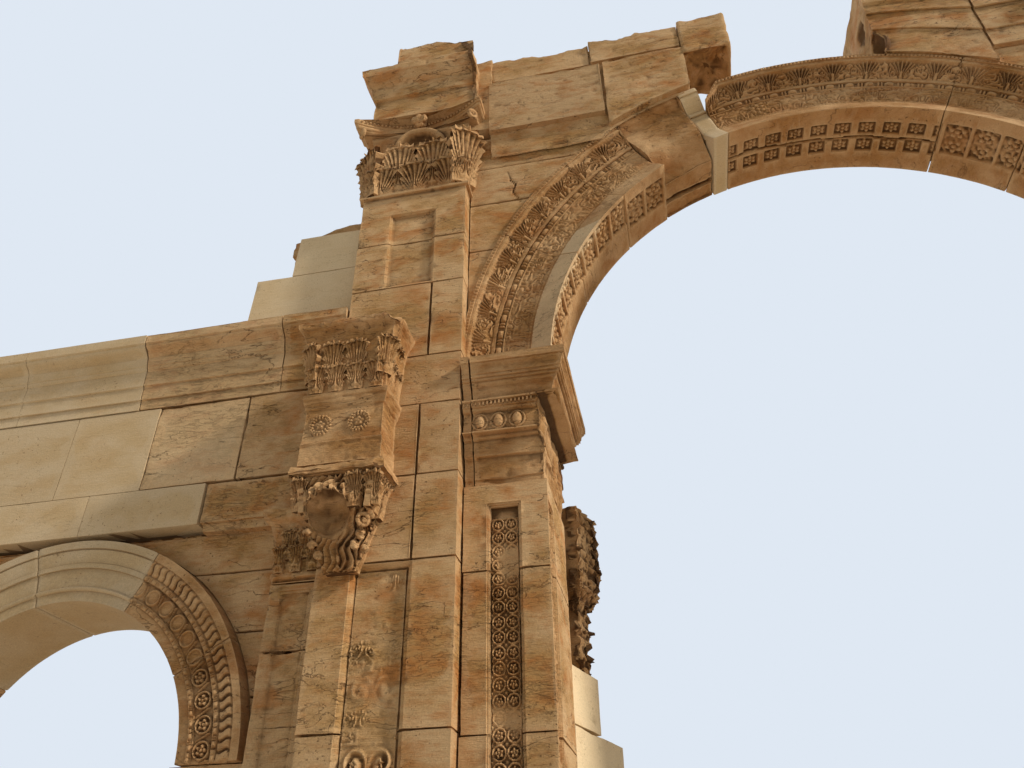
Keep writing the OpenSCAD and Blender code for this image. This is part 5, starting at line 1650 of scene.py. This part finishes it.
def split(loops, line, plane, depth=0.03, width=0.012):
    """A crack in a face: points near a line of (q, z) corners are pushed in."""
    for a, b in zip(line, line[1:]):
        p, along = loops[..., [0, 2]] - a, b - a
        share = unit((p @ along) / (along @ along))[..., None]
        near = np.linalg.norm(p - share * along, axis=-1)
        loops[..., 1] += np.where(np.abs(loops[..., 1] - plane) < 0.04,
                                  depth * unit(1 - near / width), 0)
    return loops


spandrel_q, _, spandrel_y, spandrel_back, spandrel_z, spandrel_top = span("right_spandrel")
for word, side, grain in SIDES:
    rows = ((spandrel_z, 8.9, 0.0), (8.9, 9.75, 0.03), (9.75, 10.45, -0.03), (10.45, spandrel_top, 0.04))
    stones = []
    for z0, z1, tone in rows:
        stone = beside_arch(spandrel_q, GIANT_IN, spandrel_y, spandrel_back, z0, z1, (0, SPRING_Z), RING_OUT,
                            (0.03 * grain, HIDDEN, COARSE, 0.12), limit=spandrel_q)
        stones.append((split(stone, CRACK, spandrel_y), tone))
    stones.append((beside_arch(spandrel_q, GIANT_IN, spandrel_y + 0.06, spandrel_back - 0.06, spandrel_z,
                               spandrel_top,
                               (0, SPRING_Z), RING_OUT - 0.05, (0.1, HIDDEN, 0.3, 0.3), limit=spandrel_q),
                   0.0))
    make_piece(f"{word}_spandrel_stones", stones, ashlar, [f"{word}_spandrel"], side,
               wear=(0.012, 0.02, 0.006))
report("spandrels")

# %% [markdown]
# ## The broken top
# Two blocks of the high architrave rest on the ring on each side, with broken tops. On the left a broken
# course lies over them, whose last block has a hollow end. A plain stone inside closes their joints.

# %% Broken, hollowed and resting blocks
HIGH_TOP, BLOCKS_Z = span("left_high_architrave")[5], spandrel_top


def broken_top(loops, z_from, depth, seed, size=0.35):
    """Lowers the upper part of a stone by a cloud times the share of the way from z_from to its top."""
    z1 = loops[..., 2].max()
    share = unit((loops[..., 2] - z_from) / (z1 - z_from))
    loops[..., 2] -= share * depth * layers(loops, (size, size, 4.0), seed, 4)
    loops[..., 2] -= share * 0.06 * layers(loops, (0.09, 0.09, 4.0), seed + 5)
    return loops


def hollowed(loops, depth, seed):
    """A bowl in the underside of a block: rings that shrink towards the middle and rise like an arc."""
    middle = loops[0].mean(0)
    bowl = [middle + (loops[0] - middle) * share + (0, 0, depth * np.sqrt(1 - (share / 0.9) ** 2))
            for share in (0.15, 0.3, 0.45, 0.6, 0.7, 0.78, 0.84, 0.88)]
    bowl = [ring + 0.05 * (layers(ring, 0.12, seed)[:, None] - 0.5) for ring in bowl]
    return np.concatenate([bowl, [middle + (loops[0] - middle) * 0.93], loops])


def ring_top(q, radius):
    """Height of a circle around the ring's middle: the springing plus the root of r^2 - q^2."""
    return SPRING_Z + np.sqrt(np.clip(radius**2 - q**2, 0, None))


def over_ring(q0, q1, y0, y1, z0, z1, cells, seed, radius=RING_OUT + 0.004):
    """A block whose underside rests on the ring: its points are lifted to the circle where they are below,
    and those above share out what is left of its height."""
    loops = block((q0, q1, y0, y1, z0, z1), cells, edge=0.02, chips=5, seed=seed)
    floor = np.where(loops[..., 0] < spandrel_q, ring_top(loops[..., 0], radius), z0)
    share = (loops[..., 2] - z0) / (z1 - z0)
    loops[..., 2] = np.where(floor > z0, floor + share * (z1 - floor), loops[..., 2])
    return loops


print("high blocks from", round(BLOCKS_Z, 2), "to", round(HIGH_TOP, 2))

# %% High blocks of the left side
cells = (0.035, 0.05, 0.12, 0.05)
stones = [
    # Painted shade: this first block is darkened by a tone of -0.12.
    (over_ring(2.525, 4.222, -0.1, 1.17, BLOCKS_Z, 12.27, cells, 1), -0.12),
    (over_ring(1.31, 2.515, -0.1, 1.17, 10.75, 12.27, cells, 2), 0.0),
    (broken_top(block((2.66, 4.21, -0.06, 1.1, 12.27, 12.94), cells, 0.05, 3, 3), 12.4, 0.22, 4), 0.03),
    (broken_top(block((1.32, 2.69, -0.09, 1.14, 12.28, 12.93), cells, 0.06, 3, 4), 12.4, 0.16, 5), 0.02),
    (hollowed(block((0.62, 1.36, -0.115, 0.73, 12.06, 12.93), cells, 0.1, 2.5, 6), 0.07, 6), 0.04),
    (over_ring(1.4, 4.215, -0.02, 1.06, 10.6, 12.7, (0.1, 0.3, 0.3, 0.3), 9, RING_OUT - 0.05), 0.0)]
make_piece("left_high_blocks", stones, ashlar, ["left_high_architrave"], -1, wear=(0.03, 0.035, 0.012))
report("left high blocks")

# %% High blocks of the right side
HIGH_FASCIAS = [(0.036, BLOCKS_Z - 0.35), (0.036, 11.42), (0.06, 11.43), (0.06, 11.9), (0.09, 11.91),
                (0.09, 12.14), (0.1, 12.17), (0.12, 12.22), (0.12, HIGH_TOP)]
stones = []
for q0, q1, seed in ((1.215, 2.535, 5), (2.545, 4.222, 6)):
    shape = [(r, max(z, BLOCKS_Z if q0 > 2 else z)) for r, z in HIGH_FASCIAS]
    stone = course((q0, q1, 0, 1.07), follow(shape, 0.05), (0.05, HIDDEN, 0.15, 0.05))
    floor, low = ring_top(stone[..., 0], RING_OUT + 0.004), stone[..., 2].min()
    floor = np.where((stone[..., 0] < spandrel_q) & (floor > low), floor, low)
    stone[..., 2] = floor + (stone[..., 2] - low) / (HIGH_TOP - low) * (HIGH_TOP - floor)
    stone[..., 2] -= unit(stone[..., 2] - 12.5) * 0.25 * layers(stone, 0.4, seed)
    if q0 < 2:
        stone = bite(stone, (1.05, 0.05, 11.55), 0.3, 6)
        stone = bite(stone, (1.02, 0.3, 12.3), 0.28, 7)
    stones.append((stone, 0.02))
stones.append((over_ring(1.5, 4.215, 0.05, 1.06, 10.6, 12.6, (0.1, 0.3, 0.3, 0.3), 9, RING_OUT - 0.05), 0.0))
make_piece("right_high_blocks", stones, ashlar, ["right_high_architrave"], 1, wear=(0.02, 0.02, 0.01))

report("right high blocks")

# %% [markdown]
# ## Corner blocks
# Over each giant capital stands a block of mouldings, whose top and inner end have broken away.

# %% Corner blocks
CORNER = [(0, 0), (0, 0.25), (0.15, 0.27), (0.3, 0.4), (0.55, 0.44), (0.85, 0.52), (0.88, 0.6), (0.84, 0.62),
          (0.5, 0.65), (0.45, 0.95), (0.3, 1)]
corner_z, corner_top = span("left_corner_block")[4:]
for word, side, grain in SIDES:
    shape = [(0.207 * r / 0.9, corner_z + (corner_top - corner_z) * z) for r, z in CORNER]
    stone = course((4.27, GIANT_OUT, -0.26, 1.25 + 0.26), follow(shape, 0.03 * grain),
                   (0.035 * grain, 0.05 * grain, 0.12, 0.05 * grain), (1, 1, 1, 0))
    high = unit((stone[..., 2] - corner_top + 0.66) / 0.04)
    stone[..., 0] -= high * unit(stone[..., 0] - GIANT_OUT + 0.36)
    stone = broken_top(stone, 12.9, 0.1, 7)
    inner = unit((5.0 - stone[..., 0]) / 0.7)
    stone[..., 2] -= 0.22 * inner * unit((stone[..., 2] - 12.9) / 0.3)
    end = stone[..., 0] < 4.36
    stone[..., 0] += end * (0.16 * layers(stone, 0.35, 8) + 0.25 * unit(stone[..., 2] - 12.6))
    filler = block((4.15, 4.75, -0.08, 1.1, corner_z - 0.4, 12.85), (0.05, 0.1, 0.2, 0.1), 0.04, 4, 2)
    make_piece(f"{word}_corner_block_worn", [(stone, 0.0), (filler, 0.05)], ashlar,
               [f"{word}_corner_block"], side, wear=(0.03, 0.035, 0.012))
report("corner blocks")

# %% [markdown]
# ## Restored ashlar and rough masonry
# On the side wall stand two courses of new pale stone, with painted light that makes them paler still, and
# behind them three of rough masonry with ragged ends.

# %% Restored ashlar and rough masonry behind it
r_y0, r_y1 = span("left_restored_ashlar")[2:4]
for word, side, grain in SIDES:
    stones = []
    for k, (z0, z1, q1) in enumerate(((ARCHITRAVE_TOP, 8.96, 7.48), (8.96, 9.65, 6.95))):
        stone = block((GIANT_OUT, q1, r_y0, r_y1, z0 + 0.002, z1 - 0.002), (0.06, HIDDEN, 0.1, 0.06), 0.006,
                      4, k)
        lean = unit((stone[..., 0] - q1 + 0.05) / 0.05)
        stone[..., 0] -= lean * 0.034 * (stone[..., 2] - z0) / (z1 - z0)
        # Painted light: a tone of 0.14 and more lightens the new stones beyond the sawn stone.
        stones.append((stone, 0.14 + 0.03 * k))
    make_piece(f"{word}_restored_ashlar_blocks", stones, sawn, [f"{word}_restored_ashlar"], side,
               wear=(0.004, 0.001, 0))
    stones = []
    for k, (z0, z1, q1) in enumerate(((ARCHITRAVE_TOP, 9.0, 7.29), (9.0, 9.7, 7.29), (9.7, 10.39, 7.29))):
        stone = block((GIANT_OUT, q1, r_y1, SIDE_BACK, z0, z1), (0.05, 0.05, 0.08, HIDDEN), 0.05, 3, 50 + k)
        stone[..., 0] -= unit((stone[..., 0] - q1 + 0.3) / 0.3) * 0.16 * layers(stone, 0.3, 20 + k)
        stone[..., 2] -= (z1 > 10) * unit((stone[..., 0] - GIANT_OUT) / 1.3) * (stone[..., 2] - z0) * 0.55
        stones.append((broken_top(stone, 9.8, 0.16, 8 + k) if k > 1 else stone, 0.0))
    stones.append(core((GIANT_OUT, 7.0, r_y1, SIDE_BACK, ARCHITRAVE_TOP, 9.9), 0.05))
    make_piece(f"{word}_rough_masonry_stones", stones, ashlar, [f"{word}_rough_masonry"], side,
               wear=(0.035, 0.03, 0.015))
report("masonry stubs")

# %% [markdown]
# ## Plinths
# The plinths lie below the picture and are plain, with one sloping step.

# %% Plinths
for word, side, grain in SIDES:
    low, high = span(f"{word}_plinth")[4:]
    steps = follow([(0, low), (0, 0.3), (-0.02, 0.32), (-0.06, 0.4), (-0.1, 0.41), (-0.1, high)], 0.05)
    stones = []
    for plan, wraps in (((3.48, GIANT_OUT, -0.32, PIER_BACK), (1, 0, 0, 1)),
                        ((GIANT_OUT, 7.36, -0.17, 1.22), (1, GIANT_OUT > 6, 0, 0)),
                        ((10.54, 12.32, -0.17, 1.22), (1, 1, 0, 1))):
        stones.append((course(plan, steps, (0.05, 0.08, 0.15, 0.08), wraps), 0.0))
    make_piece(f"{word}_plinth_blocks", stones, ashlar, [f"{word}_plinth"], side, wear=(0.02, 0.012, 0.012))
report("plinths")

# %% [markdown]
# ## Rear piers
# Behind each pier stands another one, turned by fifteen degrees, because the street bends at this arch.
# Its courses are pale and plain, with painted light that makes them paler still, and its capital has
# weathered to porous lumps. The pier is drawn straight, then turned around its corner; what would cross
# the front pier is pushed back to it.

# %% Rear piers, turned
REAR_TURN = 15


def turned(loops):
    """Turns loops around the pier's inner back corner, which is where q and y are 0 before the turn."""
    return turn_plan(loops, REAR_TURN) + (PIER_IN, PIER_BACK, 0)


def kept_behind(loops):
    """Keeps loops behind the front pier and inside the outer edge of the giant pilaster."""
    loops[..., 1] = np.maximum(loops[..., 1], PIER_BACK)
    loops[..., 0] = np.minimum(loops[..., 0], GIANT_OUT - 0.02)
    return loops


REAR_W, REAR_LEN, REAR_HIGH_LEN, REAR_LOW_Z = 2.2, 1.4, 0.75, 3.35
rear_z, rear_top = span("rear_piers")[5], span("rear_capitals")[5]
stones = []
courses = (PLINTH_TOP, 1.1, 1.8, 2.55, REAR_LOW_Z, rear_z)
for k, (z0, z1) in enumerate(zip(courses, courses[1:])):
    cut = 0.75 if k % 2 else 1.35
    length = REAR_LEN if z1 < REAR_LOW_Z + 0.01 else REAR_HIGH_LEN
    for q0, q1 in ((0, cut), (cut, REAR_W)):
        stone = block((q0 + JOINT / 2, q1 - JOINT / 2, -0.55, length, z0 + JOINT / 2, z1 - JOINT / 2),
                      (0.12, HIDDEN, 0.1, 0.06) if q0 == 0 else (0.12, 0.12, 0.12, HIDDEN), 0.014, 6, 70 + k)
        stones.append((kept_behind(turned(stone)), 0.05 + 0.02 * (k % 3)))
foot = course((-0.12, REAR_W, -0.5, REAR_LEN + 0.12), follow([(0, 0), (0, 0.36), (-0.08, 0.45)], 0.1),
              (0.15, 0.15, 0.15, 0.1), (0, 1, 1, 1))
stones.append((kept_behind(turned(foot)), 0.04))
# Painted light: the tone of every rear stone is raised by 0.22, as if the pier stood in sun.
make_piece("rear_pier_stones", both([(loops, tone + 0.22) for loops, tone in stones]), sawn, ["rear_piers"],
           wear=(0.015, 0.012, 0.006))
report("rear piers")

# %% Lumps of the rear capitals
stones = []
for z0, z1, reach, length, seed in ((rear_z + 0.01, 4.75, 0.045, 0.65, 3),
                                    (4.75, rear_top - 0.012, 0.14, 0.85, 5)):
    shape = follow([(reach * 0.2, z0), (reach * 0.8, z0 + 0.15), (reach, z0 + 0.45), (reach * 0.9, z1)], 0.03)
    stone = course((0.0, 0.7 * REAR_W, 0.39, length), shape, (0.05, 0.03, 0.04, 0.02), (1, 1, 1, 1))
    drilled = 0.06 * (1 - curls(stone[..., 1] + stone[..., 0], stone[..., 2], 0.15))
    drilled = drilled + 0.06 * layers(stone, 0.1, seed)
    stone[..., 0] += np.where(stone[..., 0] < 0.02, drilled, 0)
    stone[..., 1] -= np.where(stone[..., 1] > length - 0.02, drilled, 0)
    stones.append((turned(stone), 0.0))
make_piece("rear_capital_lumps", both(stones), carved, ["rear_capitals"], wear=(0.03, 0.02, 0.03))
report("rear")

# %% [markdown]
# ## Floor
# A plain pale floor lies just under the plinths, so large that its edge is never seen from close by.

# %% Floor
FLOOR_REACH, FLOOR_Z = 400, -0.002
corners = [(x * FLOOR_REACH, y * FLOOR_REACH, FLOOR_Z) for x, y in ((-1, -1), (1, -1), (1, 1), (-1, 1))]
floor_mesh = bpy.data.meshes.new("floor")
floor_mesh.from_pydata(corners, [], [(0, 1, 2, 3)])
floor = bpy.data.objects.new("floor", floor_mesh)
bpy.context.scene.collection.objects.link(floor)
matt = bpy.data.materials.new("pale matt floor")
matt.use_nodes = True
matt_shader = matt.node_tree.nodes["Principled BSDF"]
matt_shader.inputs["Base Color"].default_value = from_hex("d9d4ca")
matt_shader.inputs["Roughness"].default_value = 0.95
floor_mesh.materials.append(matt)
floor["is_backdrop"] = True
print("floor:", 2 * FLOOR_REACH, "m wide")

# %% [markdown]
# ## Sky and lamps
# A warm lamp shines from the right, a little in front; a weak, cool and wide one from behind on the left.
# With the even pale sky their strengths let a colour render about as it is written. The camera sees the sky
# a little bluer and brighter than it lights.

# %% Lamps
def lamp(name, energy, width, colour, towards):
    """A lamp at infinite distance. width is how wide it looks, in degrees; towards points from us to it."""
    light = bpy.data.lights.new(name, "SUN")
    light.energy = energy
    light.angle = radians(width)
    light.color = colour
    holder = bpy.data.objects.new(name, light)
    holder.rotation_mode = "QUATERNION"
    holder.rotation_quaternion = Vector(towards).to_track_quat("Z", "Y")
    bpy.context.scene.collection.objects.link(holder)
    return holder


lamps = [lamp("sun", 3.3, 6, (1.0, 0.93, 0.82), (0.88, -0.21, 0.56)),
         lamp("fill", 1.1, 40, (0.93, 0.96, 1.0), (-0.6, 0.8, 0.5))]
print("lamps:", [holder.name for holder in lamps])

# %% Sky
SKY_LIGHT, SKY_SEEN, SKY_STRENGTH = "e9edf2", "dfe8f3", 0.38
sky = bpy.data.worlds.new("pale sky")
bpy.context.scene.world = sky
sky.use_nodes = True
tree = sky.node_tree
light = tree.nodes["Background"]
light.inputs["Color"].default_value = from_hex(SKY_LIGHT)
light.inputs["Strength"].default_value = SKY_STRENGTH
seen = add(tree, "ShaderNodeBackground", {"Color": from_hex(SKY_SEEN), "Strength": 1.0})
rays = add(tree, "ShaderNodeLightPath")
shown = add(tree, "ShaderNodeMath", {0: rays.outputs["Is Camera Ray"], 1: rays.outputs["Is Glossy Ray"]},
            operation="MAXIMUM")
mixed = add(tree, "ShaderNodeMixShader", {0: shown.outputs[0], 1: light.outputs[0], 2: seen.outputs[0]})
tree.links.new(mixed.outputs[0], tree.nodes["World Output"].inputs["Surface"])
bpy.context.scene.view_settings.view_transform = "Standard"
print("sky strength:", SKY_STRENGTH)

# %% [markdown]
# ## Sizes
# The boxes of the solids and of the finished building are set side by side.

# %% Sizes
low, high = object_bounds()
{"cad": [list(cad_low), list(cad_high)], "visual": [list(low), list(high)]}
report("building")
print("largest pieces:", sorted(((n, k) for k, n in added_triangles.items()), reverse=True)[:8])
